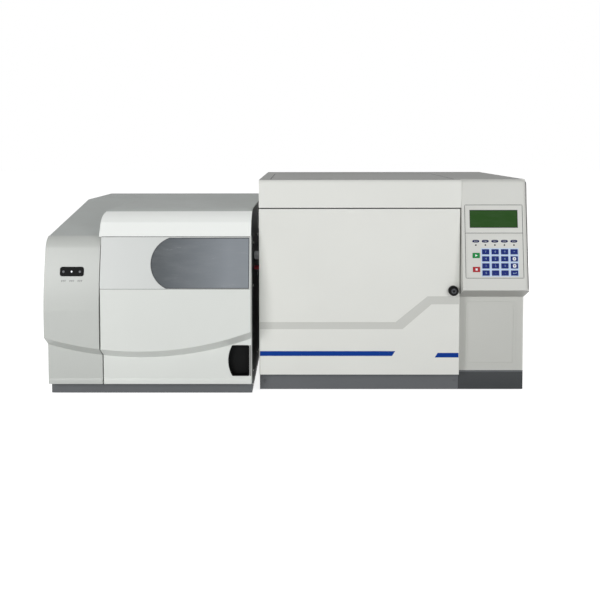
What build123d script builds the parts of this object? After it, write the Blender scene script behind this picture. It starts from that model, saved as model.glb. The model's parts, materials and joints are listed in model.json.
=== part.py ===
"""Gas chromatograph with a mass detector coupled to its left side.

Millimetres, +Z up, -Y to the front.  The origin is the middle of the footprint, on the bench.
The chromatograph (names starting gc_) stands on the right, the detector (ms_) on the left.
"""
from build123d import *
import math
import os

# ---------------------------------------------------------------- driving dimensions
# chromatograph cabinet
gc_w, gc_d, gc_h = 600.0, 500.0, 484.0
gc_plinth_h = 44.0      # base tray, above the feet
sheet = 2.0             # cabinet sheet metal
foot_h, foot_r, foot_inset = 4.0, 14.0, 42.0

# detector cabinet
ms_w, ms_d, ms_h = 452.0, 617.0, 418.0
ms_plinth_h = 21.0
cabinet_gap = 16.0
ms_ahead = 28.0         # its front plane lies this far in front of the chromatograph's

# oven door
door_w, door_h = 450.0, gc_h - 109.5
door_lap = 3.5          # overlap of the door over the base tray
door_proud = 25.0
door_gap = 2.0          # space for the seal
door_skin = 2.0
seam = 2.5              # open joint above the door
door_axis_in = 6.0      # hinge axis from the door's left edge
door_axis_back = 10.5   # hinge axis from the door's front face
hinge_pin_r = 3.0
hinge_arm_t = 6.0
hinge_arm_half = 4.0
hinge_end = 14.0        # distance from a door end to its hinge arm
gc_pin_reach = 10.0     # pin beyond each side of its arm
running = 0.05          # radial clearance of a turning pin
slip = 0.5              # end clearance of a turning part
hole_gap = 0.5          # round a fixed tube in a panel
pin_root = 1.0          # a pin's overlap with the wall that carries it

# latch
knob_in, knob_z = 15.0, gc_h - 248.2   # from the door's right edge, and above the bench
knob_r, knob_t = 11.0, 12.0
shaft_r = 4.0
tongue_w, tongue_l, tongue_t = 6.0, 15.0, 3.0
slot_gap = 3.0          # round the latch tongue, in the frame behind the door

# front strip above the door and the top cover
fascia_r = 8.0
lid_in_x, lid_in_y = 26.0, 11.5
lid_w, lid_d, lid_t = 414.0, 338.5, 5.0
lid_gap = 1.0
lid_skin = 2.0
lid_pin_r, lid_pin_l = 1.25, 12.0
well_d = 42.0
ledge = 5.0
scoop_in, scoop_w, scoop_d, scoop_l = 64.0, 81.0, 36.0, 9.0

# oven
oven_in_x, oven_z0 = 75.0, 90.0
oven_w, oven_h, oven_d = 280.0, gc_h - 204.0, 170.0
liner_t = 1.5
insulation_t = 40.0
plug_gap = 8.0
plug_depth = 8.0
gasket_w = 12.0
fan_r, fan_hub_r, fan_t, blade_t = 88.0, 18.0, 16.0, 2.0
fan_blades = 10
motor_r, motor_l = 40.0, 70.0
coil_r, coil_half, coil_leg_r = 104.0, 3.5, 3.0
guard_t = 1.5
guard_back = 32.0       # guard plate in front of the oven's rear wall
column_r, column_bundle, column_width = 84.0, 5.0, 20.0
column_in = 62.0        # behind the front plane
cage_t, cage_lip = 1.5, 3.0
hanger_w, hanger_t, hanger_pin_r = 10.0, 2.0, 2.5
hanger_dx = 30.0
vent_w, vent_h = 80.0, 50.0
flap_t = 2.0
flap_gap = 1.0
flap_pin_r, flap_pin_l = 1.0, 5.0

# injector in the well under the lid
injector_in_x, injector_in_y = 120.0, 90.0
injector_r, injector_neck_r, injector_cap_r = 14.0, 5.0, 11.0
injector_clear, injector_cap_h, injector_neck_l = 8.0, 14.0, 22.0
injector_nut_r, injector_nut_h, injector_nut_drop = 8.0, 8.0, 18.0
septum_r = 1.2

# console
console_gap = 2.0
console_wall = 2.5
console_base_z = gc_h - 267.0
lip_z, lip_proud = gc_h - 243.0, 56.0
brow_z, brow_proud = gc_h - 47.0, 26.0
console_top_proud = 20.0
console_corner_r = 12.0
lcd_w, lcd_h, lcd_in_x, lcd_z = 107.0, 40.0, 17.0, gc_h - 106.5
frame_in_x, frame_w = 6.0, 129.0
frame_z0, frame_z1, frame_split_z = gc_h - 217.0, gc_h - 55.5, gc_h - 118.0
groove_w, groove_d = 1.2, 0.6
key_w, key_h, key_proud = 15.5, 11.0, 1.8
key_pitch_x, key_pitch_z = 21.0, 15.4
key_in_x, key_row_z = 51.0, gc_h - 205.2      # first number column and lowest row
key_flange, key_flange_t, key_travel = 1.0, 1.0, 0.5
key_gap = 0.25
start_key_z, stop_key_z = gc_h - 167.0, gc_h - 197.5
plate_margin = 4.0
board_t = 1.6
board_in_y, board_l, board_z, board_h = 60.0, 270.0, 70.0, 230.0
post_l, post_w = 12.0, 8.0
board_parts = ((60, 50, 42), (46, 80, 24), (70, 26, 18), (40, 60, 12))     # length, height, depth
part_pitch, part_z, part_step = 64.0, 40.0, 70.0
pad_in_x, pad_w, pad_z0, pad_h, pad_t = 16.0, 114.0, 60.5, 145.0, 1.0

# detector front
ms_low_proud = 24.0
ms_mid_proud = 54.0
ms_front_z0 = 31.0
facet_z, door_top_z = 248.0, 361.0
facet_top_proud = 31.0
hood_z, hood_proud, hood_back = 391.0, 12.0, 60.0
front_back = 12.0       # the front mouldings, drawn behind the cabinet's front plane
bow_z0, bow_z1, bow_proud = 200.0, 272.0, 46.0
shoulder_drop, shoulder_proud = 24.0, 31.0
crown_drop, crown_proud = 9.0, 22.0
ms_seam_x = 122.0       # seam between the fixed front and the door
ms_seam = 2.5
ms_door_gap = 1.0       # behind the detector's door
ms_wall = 3.0
ms_roof_z = 360.0       # front edge of the sloping roof
ms_roof_proud = 6.0
ms_roof_run = 349.0     # depth over which the roof rises to full height
ms_shell = 2.5
hood_corner_r = 18.0
step_r, step_h = 712.0, 20.0            # curved step across the front
step_x, step_low_z = 206.7, 111.0
window_r, window_end_x = 60.0, 293.0
window_z = 304.0
window_pocket, window_t, window_lip = 2.6, 2.0, 7.0
cup_w, cup_h, cup_z0, cup_edge = 46.5, 69.0, 49.0, 5.0
cup_depth, cup_wall, cup_bow = 17.0, 1.6, 9.0
ms_axis_in = 4.0
ms_arm_half, ms_pin_r, ms_arm_t = 2.4, 1.5, 6.0
ms_arm_zs = (132.0, 226.0)
ms_pin_reach = 9.0
bezel_w, bezel_h, bezel_t, bezel_r = 52.0, 20.6, 5.0, 5.0
bezel_x, bezel_z, bezel_back, bezel_tilt = 61.0, 285.7, 43.4, 13.0
bezel_proud, lamp_proud = 1.0, 0.8
lamp_r, lamp_pitch = 2.6, 18.0
hatch_x0, hatch_x1, hatch_z0, hatch_z1 = 200.0, 412.0, 215.0, 345.0

# transfer line between the cabinets
line_back = 113.0       # behind the detector's front plane
line_z, line_r, sleeve_r = 300.6, 5.0, 8.0
conduit_z, conduit_r = 271.6, 5.0
nut_t, nut_r, nut_gap = 7.0, 11.0, 1.0
sleeve_in, line_end = 14.0, 10.0
flange_r, flange_t = 13.0, 6.0

# detector works
chamber_x, chamber_w = 232.0, 196.0
chamber_y, chamber_l = 52.0, 270.0
chamber_z, chamber_h = 246.0, 96.0
chamber_wall = 14.0
cover_inset, cover_t, cover_corner = 3.0, 9.0, 6.0
leg_w = 14.0
pump_r, pump_wall, pump_mouth = 52.0, 14.0, 60.0
pump_flange_r, pump_flange_t = 64.0, 10.0
controller_w, controller_h = 104.0, 112.0
fin_pitch, fin_proud, fin_t = 28.0, 7.0, 8.0
rod_len, quad_rod_r, quad_half = 150.0, 5.0, 9.6
quad_lift, quad_back, quad_end = 6.0, 70.0, 14.0
disc_r, disc_t, foot_half = 26.0, 12.0, 16.0
source_half, source_l, source_gap = 24.0, 42.0, 10.0
port_r, port_bore_r, port_out = 10.0, 8.0, 20.0
port_flange_r, port_flange_t, port_bore_in = 15.0, 5.0, 30.0
port_x, port_z = 330.0, 90.0
rf_x, rf_w, rf_y, rf_l, rf_h = 24.0, 120.0, 70.0, 300.0, 190.0
rf_fins, rf_fin_t, rf_fin_h, rf_fin_in = 12, 3.0, 22.0, 12.0

# gas inlets on the rear of the chromatograph
gas_in_x, gas_pitch, gas_z = gc_w - 80.0, 24.0, gc_h - 104.0
gas_bore_r, gas_tube_r, gas_out = 1.6, 3.0, 14.0
gas_nut_r, gas_nut_t = 7.0, 7.0
valve_w, valve_h = 14.0, 14.0
gas_block_w, gas_block_d, gas_block_h = 90.0, 60.0, 50.0
inlet_w, inlet_h, inlet_d, inlet_in_x, inlet_z = 48.0, 27.0, 32.0, gc_w - 40.0, 80.0

# ---------------------------------------------------------------- places worked out from them
total_w = ms_w + cabinet_gap + gc_w
ml, mr = -total_w / 2, -total_w / 2 + ms_w
gl, gr = total_w / 2 - gc_w, total_w / 2
ms_bulge = ms_mid_proud
total_d = ms_bulge + ms_d + port_out
mf = -total_d / 2 + ms_bulge
mb = mf + ms_d
gf = mf + ms_ahead
gb = gf + gc_d
gc_plinth = foot_h + gc_plinth_h
ms_plinth = foot_h + ms_plinth_h

door_z0 = gc_plinth - door_lap
door_z1 = door_z0 + door_h
door_face = gf - door_proud
door_back = gf - door_gap
door_r = gl + door_w
door_axis = (gl + door_axis_in, door_face + door_axis_back)
gc_arm_zs = (door_z0 + hinge_end, door_z1 - hinge_end - hinge_arm_t)
fascia_z0 = door_z1 + seam
console_x0 = door_r + console_gap
knob_x = door_r - knob_in

lid_x0, lid_x1 = gl + lid_in_x, gl + lid_in_x + lid_w
lid_y0, lid_y1 = gf + lid_in_y, gf + lid_in_y + lid_d
lid_axis = (lid_y1 - lid_t / 2, gc_h - lid_t / 2)

oven_x0, oven_x1 = gl + oven_in_x, gl + oven_in_x + oven_w
oven_z1 = oven_z0 + oven_h
oven_y0, oven_y1 = gf + sheet, gf + sheet + oven_d
oven_cx, oven_cz = (oven_x0 + oven_x1) / 2, (oven_z0 + oven_z1) / 2
column_y = gf + column_in
hanger_drop = math.sqrt((column_r - hanger_pin_r - 0.2) ** 2 - hanger_dx ** 2)
works_back = oven_y1 + liner_t + insulation_t
fan_y0 = oven_y1 - fan_t - 4.0
vent_x0, vent_x1 = oven_x1 - vent_w - 8.0, oven_x1 - 8.0
vent_z0, vent_z1 = oven_z1 - vent_h - 6.0, oven_z1 - 6.0
flap_axis = (gb - flap_t / 2 - 1.0, vent_z1 - flap_gap - flap_t)

ms_axis = (ml + ms_seam_x + ms_seam / 2 + ms_axis_in, mf - ms_mid_proud + ms_axis_in)
line_y = mf + line_back
hood_x0 = ml + ms_seam_x - 4.0
roof_rise = (ms_h - ms_roof_z) / ms_roof_run
roof_drop = ms_shell * math.sqrt(1 + roof_rise ** 2)
facet_len = math.hypot(ms_mid_proud - facet_top_proud, door_top_z - facet_z)
facet_plane = Plane(origin=(ml, mf - ms_mid_proud, facet_z), x_dir=(1, 0, 0),
                    z_dir=(0, -(door_top_z - facet_z) / facet_len,
                           (ms_mid_proud - facet_top_proud) / facet_len))

console_tilt = math.degrees(math.atan2(lip_proud - brow_proud, brow_z - lip_z))
face_cos = math.cos(math.radians(console_tilt))
face_sin = math.sin(math.radians(console_tilt))
console_face = Plane(origin=(console_x0, gf - lip_proud, lip_z), x_dir=(1, 0, 0),
                     z_dir=(0, -face_cos, face_sin))


# ---------------------------------------------------------------- tools of the trade
def block(x, y, z):
    """A box between a low and a high value on each axis."""
    (x0, x1), (y0, y1), (z0, z1) = x, y, z
    middle = Pos((x0 + x1) / 2, (y0 + y1) / 2, (z0 + z1) / 2)
    return middle * Box(x1 - x0, y1 - y0, z1 - z0)


def rod_x(y, z, r, x0, x1):
    return Pos((x0 + x1) / 2, y, z) * Rot(0, 90, 0) * Cylinder(r, x1 - x0)


def rod_y(x, z, r, y0, y1):
    return Pos(x, (y0 + y1) / 2, z) * Rot(90, 0, 0) * Cylinder(r, y1 - y0)


def rod_z(x, y, r, z0, z1):
    return Pos(x, y, (z0 + z1) / 2) * Cylinder(r, z1 - z0)


def along_x(section, x0, x1):
    """A section drawn in (y, z), run along X."""
    return extrude(Plane.YZ.offset(x0) * section, amount=x1 - x0)


def along_y(section, y0, y1):
    """A section drawn in (x, z), run along Y."""
    return extrude(Plane.XZ.offset(-y0) * section, amount=y1 - y0, dir=(0, 1, 0))


def along_z(section, z0, z1):
    """A section drawn in (x, y), run along Z."""
    return extrude(Plane.XY.offset(z0) * section, amount=z1 - z0)


def outline(*points):
    return make_face(Polyline(*points, close=True))


def rectangle(x0, x1, z0, z1, r=0.0):
    """A rectangle between its edges, with rounded corners if r is given."""
    shape = Rectangle(x1 - x0, z1 - z0) if r == 0 else RectangleRounded(x1 - x0, z1 - z0, r)
    return Pos((x0 + x1) / 2, (z0 + z1) / 2) * shape


def face_v(z):
    """Height above the bench, as a distance up the console's sloping face."""
    return (z - lip_z) / face_cos


def on_face(section, low, high):
    """A section drawn on the console's face, from 'low' to 'high' along its outward normal."""
    return extrude(console_face.offset(low) * section, amount=high - low)


def emit(name, *solids):
    """Write one node."""
    shape = solids[0] if len(solids) == 1 else Compound(children=list(solids))
    os.makedirs("parts", exist_ok=True)
    export_step(shape, f"parts/{name}.step")


# ---------------------------------------------------------------- chromatograph cabinet
def tray(x0, x1, y0, y1, z1):
    """A folded base tray, open on top."""
    outer = block((x0, x1), (y0, y1), (foot_h, z1))
    inner = block((x0 + sheet, x1 - sheet), (y0 + sheet, y1 - sheet), (foot_h + sheet, z1 + sheet))
    return outer - inner


def feet():
    """Four rubber feet under each cabinet."""
    pads = []
    for x0, x1, y0, y1 in ((gl, gr, gf, gb), (ml, mr, mf, mb)):
        for x in (x0 + foot_inset, x1 - foot_inset):
            for y in (y0 + foot_inset, y1 - foot_inset):
                pads.append(rod_z(x, y, foot_r, 0, foot_h))
    return pads


def slots(cx, cz, count, pitch, length, width):
    """A column of horizontal slots, drawn in (across, z)."""
    row = Sketch()
    for i in range(count):
        row += Pos(cx, cz + (i - (count - 1) / 2) * pitch) * Rectangle(length, width)
    return row


def side_panel(x0, louvres):
    panel = block((x0, x0 + sheet), (gf, gb - sheet), (gc_plinth, gc_h - sheet))
    if louvres:
        for y in (gf + gc_d * 0.36, gf + gc_d * 0.64):
            panel -= along_x(slots(y, gc_h * 0.62, 7, 12.0, 90.0, 3.5), x0 - 1, x0 + sheet + 1)
    else:
        panel -= rod_x(line_y, line_z, sleeve_r + 3.0, x0 - 1, x0 + sheet + 1)
    return panel


def rear_panel():
    """Rear sheet with its openings and slots."""
    panel = block((gl, gr), (gb - sheet, gb), (gc_plinth, gc_h - sheet))
    panel -= block((vent_x0 - sheet, vent_x1 + sheet), (gb - sheet - 1, gb + 1),
                   (vent_z0 - sheet, vent_z1 + sheet))
    for i in (-1, 0, 1):
        x = gl + gas_in_x + i * gas_pitch
        panel -= rod_y(x, gas_z, gas_tube_r + hole_gap, gb - sheet - 1, gb + 1)
    x = gl + inlet_in_x
    panel -= block((x - inlet_w / 2, x + inlet_w / 2), (gb - sheet - 1, gb + 1),
                   (inlet_z - inlet_h / 2, inlet_z + inlet_h / 2))
    vents = slots(gl + gc_w * 0.22, gc_h * 0.34, 8, 10.0, 110.0, 3.5)
    return panel - along_y(vents, gb - sheet - 1, gb + 1)


def vent_duct():
    """Square duct from the oven's rear wall to the rear panel, with the flap's two pins."""
    duct = block((vent_x0 - sheet, vent_x1 + sheet), (works_back, gb),
                 (vent_z0 - sheet, vent_z1 + sheet))
    duct -= block((vent_x0, vent_x1), (works_back - 1, gb + 1), (vent_z0, vent_z1))
    for x, inward in ((vent_x0, 1), (vent_x1, -1)):
        low, high = sorted((x - inward * pin_root, x + inward * flap_pin_l))
        duct += rod_x(*flap_axis, flap_pin_r, low, high)
    return duct


def top_cover():
    """The deck, the strip above the door and the well that the lid closes."""
    deck = block((gl, gr), (gf, gb), (gc_h - sheet, gc_h))
    strip = rectangle(door_face, gf + sheet, fascia_z0, gc_h)
    strip = fillet(strip.vertices().group_by(Axis.X)[0].sort_by(Axis.Y)[-1], fascia_r)
    outer = along_x(strip, gl, console_x0) - block((gl, gr), (gf, gf + 9), (0, gc_h - sheet))
    inner = along_x(offset(strip, -sheet), gl + sheet, console_x0 - sheet)
    inner += block((gl + sheet, console_x0 - sheet), (gf - 6, gf + 9), (fascia_z0 + sheet, gc_h - sheet))
    cover = deck + (outer - inner)
    mouth_x = (lid_x0 - lid_gap, lid_x1 + lid_gap)
    mouth_y = (lid_y0 - lid_gap, lid_y1 + lid_gap)
    floor_z = gc_h - well_d
    well = block((mouth_x[0] - sheet, mouth_x[1] + sheet), (mouth_y[0] - sheet, mouth_y[1] + sheet),
                 (floor_z, gc_h))
    well -= block(mouth_x, mouth_y, (floor_z + sheet, gc_h + 1))
    cover -= block(mouth_x, mouth_y, (gc_h - sheet - 1, gc_h + 1))
    cover += well
    rim_z = gc_h - lid_t - 0.3
    rim = block(mouth_x, (mouth_y[0], lid_y1 - 2 * lid_t), (rim_z - sheet, rim_z))
    rim -= block((mouth_x[0] + ledge, mouth_x[1] - ledge), (mouth_y[0] + ledge, gb), (0, gc_h))
    cover += rim
    cover -= rod_z(gl + injector_in_x, gf + injector_in_y, injector_r + 1.0, floor_z - 1, floor_z + 9)
    for x, inward in ((mouth_x[0], 1), (mouth_x[1], -1)):
        low, high = sorted((x - inward * pin_root, x + inward * (lid_gap + lid_pin_l)))
        cover += rod_x(*lid_axis, lid_pin_r, low, high)
    return cover


def lid():
    """Flush lid; its rear edge is rounded about the hinge axis."""
    body = block((lid_x0, lid_x1), (lid_y0, lid_axis[0]), (gc_h - lid_t, gc_h))
    body += rod_x(*lid_axis, lid_t / 2, lid_x0, lid_x1)
    scoop_x = (lid_x0 + scoop_in, lid_x0 + scoop_in + scoop_w)
    scoop_y = (lid_y0 + scoop_d, lid_y0 + scoop_d + scoop_l)
    pocket = block((lid_x0 + 3, lid_x1 - 3), (lid_y0 + 3, lid_y1 - 14), (gc_h - lid_t - 1, gc_h - lid_skin))
    pocket -= block((scoop_x[0] - 3, scoop_x[1] + 3), (scoop_y[0] - 3, scoop_y[1] + 3), (0, gc_h))
    body -= pocket
    body -= along_z(rectangle(*scoop_x, *scoop_y, 4.0), gc_h - lid_t + 1.2, gc_h + 1)
    for x, inward in ((lid_x0, 1), (lid_x1, -1)):
        low, high = sorted((x - inward, x + inward * (lid_pin_l + slip)))
        body -= rod_x(*lid_axis, lid_pin_r + running, low, high)
    return body


def front_frame():
    """Welded frame behind the door: bars round the oven's mouth and round the latch slot."""
    left, right = gl + sheet, console_x0
    low, high = gc_plinth, gc_h - sheet
    slot_half = max(tongue_w / 2, shaft_r) + slot_gap
    slot_x0, slot_x1 = knob_x - slot_half, knob_x + slot_half
    slot_z0, slot_z1 = knob_z - tongue_l - slot_gap, knob_z + shaft_r + slot_gap
    bars = [
        ((left, slot_x0), (low, oven_z0)),
        ((left, slot_x0), (oven_z1, high)),
        ((left, oven_x0), (oven_z0, oven_z1)),
        ((oven_x1, slot_x0), (oven_z0, oven_z1)),
        ((slot_x0, right), (low, slot_z0)),
        ((slot_x0, right), (slot_z1, high)),
        ((slot_x1, right), (slot_z0, slot_z1)),
    ]
    return [block(x, (gf, gf + sheet), z) for x, z in bars]


def lower_front_panel():
    """Panel under the console; it also carries the console's back rim."""
    panel = block((console_x0, gr - sheet), (gf, gf + sheet), (gc_plinth, gc_h - sheet))
    pad = rectangle(console_x0 + pad_in_x, console_x0 + pad_in_x + pad_w, pad_z0, pad_z0 + pad_h, 9.0)
    raised = along_y(pad, gf - pad_t, gf)
    raised -= along_y(offset(pad, -5.0), gf - pad_t - 1, gf)
    panel += raised
    hole = (console_base_z + 14.0, gc_h - 26.0)
    panel -= block((console_x0 + 12, gr - 14), (gf - 1, gf + sheet + 1), hole)
    return panel


# ---------------------------------------------------------------- oven
def liner_box(grow):
    """The oven's space, grown by a thickness on every closed side."""
    return block((oven_x0 - grow, oven_x1 + grow), (oven_y0, oven_y1 + grow),
                 (oven_z0 - grow, oven_z1 + grow))


def oven_holes(line_hole, shaft_hole, neck_hole):
    """Passages through the oven's walls."""
    reach = insulation_t + liner_t + 2
    holes = rod_x(line_y, line_z, line_hole, oven_x0 - reach, oven_x0 + 1)
    holes += rod_y(oven_cx, oven_cz, shaft_hole, oven_y1 - 1, oven_y1 + reach)
    holes += block((vent_x0, vent_x1), (oven_y1 - 1, oven_y1 + reach), (vent_z0, vent_z1))
    holes += rod_z(gl + injector_in_x, gf + injector_in_y, neck_hole, oven_z1 - 1, oven_z1 + reach)
    return holes


def oven_liner():
    liner = liner_box(liner_t) - liner_box(0)
    return liner - oven_holes(line_r + 0.3, shaft_r + 2, injector_neck_r + 0.3)


def oven_insulation():
    wrap = liner_box(liner_t + insulation_t) - liner_box(liner_t)
    return wrap - oven_holes(sleeve_r + 1, shaft_r + 3, injector_r + 1)


def fan_guard():
    """Perforated plate across the oven, in front of the fan."""
    y0 = oven_y1 - guard_back
    plate = rectangle(oven_x0, oven_x1, oven_z0, oven_z1)
    cuts = Sketch()
    for radius, count, length in ((42.0, 10, 30.0), (80.0, 20, 30.0)):
        for i in range(count):
            cuts += Rot(0, 0, 360.0 * i / count) * Pos(radius, 0) * Rectangle(length, 6.0)
    cuts += Circle(9.0)
    return along_y(plate - Pos(oven_cx, oven_cz) * cuts, y0, y0 + guard_t)


def oven_fan():
    """Hub, flat radial blades and the shaft that runs back into the motor."""
    wheel = rod_y(oven_cx, oven_cz, fan_hub_r, fan_y0, fan_y0 + fan_t)
    for i in range(fan_blades):
        angle = 360.0 * i / fan_blades
        blade = Box(fan_r - fan_hub_r + 4, fan_t, blade_t)
        blade = Pos((fan_r + fan_hub_r - 4) / 2, fan_y0 + fan_t / 2, 0) * Rot(25, 0, 0) * blade
        wheel += Pos(oven_cx, 0, oven_cz) * Rot(0, angle, 0) * blade
    wheel += rod_y(oven_cx, oven_cz, shaft_r, fan_y0 + fan_t / 2, works_back + 18)
    return wheel


def fan_motor():
    motor = rod_y(oven_cx, oven_cz, motor_r, works_back + 4, works_back + 4 + motor_l)
    flange = Pos(oven_cx, oven_cz) * Rectangle(2.4 * motor_r, 2.4 * motor_r)
    motor += along_y(flange, works_back, works_back + 4)
    motor += rod_y(oven_cx, oven_cz, motor_r + 2, works_back + 30, works_back + 50)
    return motor - rod_y(oven_cx, oven_cz, shaft_r + running, works_back - 1, works_back + 20)


def heater_coil():
    """Flat ring heater round the fan, on two straight legs from the rear wall."""
    y = fan_y0 + fan_t / 2
    band = Pos(oven_cx, oven_cz) * (Circle(coil_r + coil_half) - Circle(coil_r - coil_half))
    ring = along_y(band, y - coil_half, y + coil_half)
    for side in (-1, 1):
        ring += rod_y(oven_cx, oven_cz + side * coil_r, coil_leg_r, y, oven_y1)
    return ring


def column_hanger():
    """Two straps from the oven's ceiling, each with a peg that the column hangs on."""
    straps = []
    for side in (-1, 1):
        x = oven_cx + side * hanger_dx
        peg_z = oven_cz + hanger_drop
        y = column_y + column_width + 4.0
        strap = block((x - hanger_w / 2, x + hanger_w / 2), (y, y + hanger_t), (peg_z - 6, oven_z1))
        strap += block((x - hanger_w / 2, x + hanger_w / 2), (y, y + 16), (oven_z1 - hanger_t, oven_z1))
        straps.append(strap + rod_y(x, peg_z, hanger_pin_r, column_y - 4, y))
    return straps


def column_coil():
    """Capillary column: the bundle of turns on its thin wire cage."""
    middle = Pos(oven_cx, oven_cz)
    cage = middle * (Circle(column_r + cage_t) - Circle(column_r))
    turns = middle * (Circle(column_r + cage_t + column_bundle) - Circle(column_r))
    reel = along_y(cage, column_y, column_y + column_width)
    return reel + along_y(turns, column_y + cage_lip, column_y + column_width - cage_lip)


def injector():
    x, y = gl + injector_in_x, gf + injector_in_y
    seat = oven_z1 + liner_t
    top = gc_h - lid_t - injector_clear
    body = rod_z(x, y, injector_r, seat, top - injector_cap_h)
    body += rod_z(x, y, injector_neck_r, oven_z1 - injector_neck_l, seat)
    body += rod_z(x, y, injector_cap_r, top - injector_cap_h, top)
    nut = Pos(x, y) * RegularPolygon(injector_nut_r, 6)
    body += along_z(nut, oven_z1 - injector_nut_drop, oven_z1 - injector_nut_drop + injector_nut_h)
    return body - rod_z(x, y, septum_r, top - injector_cap_h + 2, top + 1)


# ---------------------------------------------------------------- doors
def hinge(axis, plane_y, arm_half, pin_r, arm_t, z, reach):
    """One hinge: a pin on an arm that stands out from the sheet behind the door."""
    x, y = axis
    arm = block((x - arm_half, x + arm_half), (y, plane_y), (z, z + arm_t))
    arm += rod_z(x, y, arm_half, z, z + arm_t)
    return arm + rod_z(x, y, pin_r, z - reach, z + arm_t + reach)


def hinges():
    gc = [hinge(door_axis, gf, hinge_arm_half, hinge_pin_r, hinge_arm_t, z, gc_pin_reach)
          for z in gc_arm_zs]
    ms = [hinge(ms_axis, mf, ms_arm_half, ms_pin_r, ms_arm_t, z, ms_pin_reach) for z in ms_arm_zs]
    return gc + ms


def oven_door():
    """A folded pan with a block at each hinge pin."""
    pan = block((gl, door_r), (door_face, door_back), (door_z0, door_z1))
    front = pan.edges().filter_by(Axis.Z).group_by(Axis.Y)[0]
    pan = fillet(front, 1.5)
    pan -= block((gl + door_skin, door_r - door_skin), (door_face + door_skin, door_back + 1),
                 (door_z0 + door_skin, door_z1 - door_skin))
    x, y = door_axis
    for z in gc_arm_zs:
        notch = (z - slip, z + hinge_arm_t + slip)
        knuckle = block((gl + door_skin, gl + 2 * door_axis_in + 2), (door_face + door_skin, y + 9),
                        (notch[0] - gc_pin_reach, notch[1] + gc_pin_reach))
        pan += knuckle
        pan -= block((gl - 1, gl + 2 * door_axis_in + 3), (y - hinge_arm_half - 2, door_back + 1), notch)
        pan -= rod_z(x, y, hinge_pin_r + running, notch[0] - gc_pin_reach + 0.01 - slip,
                     notch[1] + gc_pin_reach + slip)
    return pan - rod_y(knob_x, knob_z, shaft_r + running, door_face - 1, door_face + door_skin + 1)


def door_liner():
    """Inner plate of the door, with the plug that fills the oven's mouth."""
    x0 = gl + 2 * door_axis_in + 4
    plate = block((x0, door_r - door_skin), (door_back - sheet, door_back),
                  (door_z0 + door_skin, door_z1 - door_skin))
    plug_x = (oven_x0 + plug_gap, oven_x1 - plug_gap)
    plug_z = (oven_z0 + plug_gap, oven_z1 - plug_gap)
    plug = block(plug_x, (door_back - sheet, gf + plug_depth), plug_z)
    plug = fillet(plug.edges().group_by(Axis.Y)[-1], 5.0)
    plug -= block((plug_x[0] + sheet, plug_x[1] - sheet), (door_back - sheet - 1, gf + plug_depth - sheet),
                  (plug_z[0] + sheet, plug_z[1] - sheet))
    plate -= block((plug_x[0] + sheet, plug_x[1] - sheet), (door_back - sheet - 1, door_back + 1),
                   (plug_z[0] + sheet, plug_z[1] - sheet))
    plate += plug
    return plate - rod_y(knob_x, knob_z, shaft_r + 1.0, door_back - sheet - 1, door_back + 1)


def door_gasket():
    """Rope seal round the plug, lying against the front frame."""
    inner = (oven_x0 - 6, oven_x1 + 6, oven_z0 - 6, oven_z1 + 6)
    outer = (inner[0] - gasket_w, inner[1] + gasket_w, inner[2] - gasket_w, inner[3] + gasket_w)
    ring = rectangle(*outer, 18.0) - rectangle(*inner, 8.0)
    return along_y(ring, door_back, gf - 0.3)


def latch_knob():
    """Round knob, shaft and the tongue that turns behind the front frame."""
    grip = rod_y(knob_x, knob_z, knob_r, door_face - knob_t, door_face - 0.5)
    rim = grip.edges().filter_by(GeomType.CIRCLE).sort_by(Axis.Y)[0]
    grip = chamfer(rim, 2.0)
    grip -= block((knob_x - 1, knob_x + 1), (door_face - knob_t - 1, door_face - knob_t + 1.2),
                  (knob_z + 2, knob_z + knob_r))
    tongue_y = gf + sheet + 1.5
    grip += rod_y(knob_x, knob_z, shaft_r, door_face - 1, tongue_y + tongue_t)
    grip += block((knob_x - tongue_w / 2, knob_x + tongue_w / 2), (tongue_y, tongue_y + tongue_t),
                  (knob_z - tongue_l, knob_z))
    return grip


def vent_flap():
    """Flap in the mouth of the rear duct, hung from its top edge."""
    y, z = flap_axis
    x0, x1 = vent_x0 + flap_gap, vent_x1 - flap_gap
    flap = block((x0, x1), (y - flap_t / 2, y + flap_t / 2), (vent_z0 + flap_gap, z))
    flap += rod_x(y, z, flap_t, x0, x1)
    for x, inward in ((x0, 1), (x1, -1)):
        low, high = sorted((x - inward, x + inward * (flap_pin_l - flap_gap + slip)))
        flap -= rod_x(y, z, flap_pin_r + running, low, high)
    return flap


# ---------------------------------------------------------------- console
def console_section():
    """Side section of the console housing, in (y, z), closed behind the front plane."""
    top = fascia_r
    shape = outline((gf + 9, console_base_z), (gf, console_base_z), (gf - lip_proud, lip_z),
                    (gf - brow_proud, brow_z), (gf - console_top_proud, gc_h), (gf + 9, gc_h))
    corner = shape.vertices().sort_by(lambda v: (v.X - gf + console_top_proud) ** 2 + (v.Y - gc_h) ** 2)[0]
    return fillet(corner, top)


def frame_grooves():
    """Engraved frame on the console's face, with the line between display and keys."""
    u0, u1 = frame_in_x, frame_in_x + frame_w
    v0, v1, split = face_v(frame_z0), face_v(frame_z1), face_v(frame_split_z)
    ring = rectangle(u0, u1, v0, v1, 3.0) - rectangle(u0 + groove_w, u1 - groove_w,
                                                      v0 + groove_w, v1 - groove_w, 2.0)
    return ring + rectangle(u0 + groove_w / 2, u1 - groove_w / 2, split - groove_w / 2, split + groove_w / 2)


def plate_window(grow=0.0):
    """Opening in the console's face that holds the keypad plate."""
    u0, u1 = frame_in_x + plate_margin, frame_in_x + frame_w - plate_margin
    v0, v1 = face_v(frame_z0) + plate_margin, face_v(frame_split_z) - plate_margin
    return rectangle(u0 - grow, u1 + grow, v0 - grow, v1 + grow, 3.0)


def lcd_window(grow=0.0):
    v0 = face_v(lcd_z)
    return rectangle(lcd_in_x - grow, lcd_in_x + lcd_w + grow, v0 - grow, v0 + lcd_h + grow)


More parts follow.
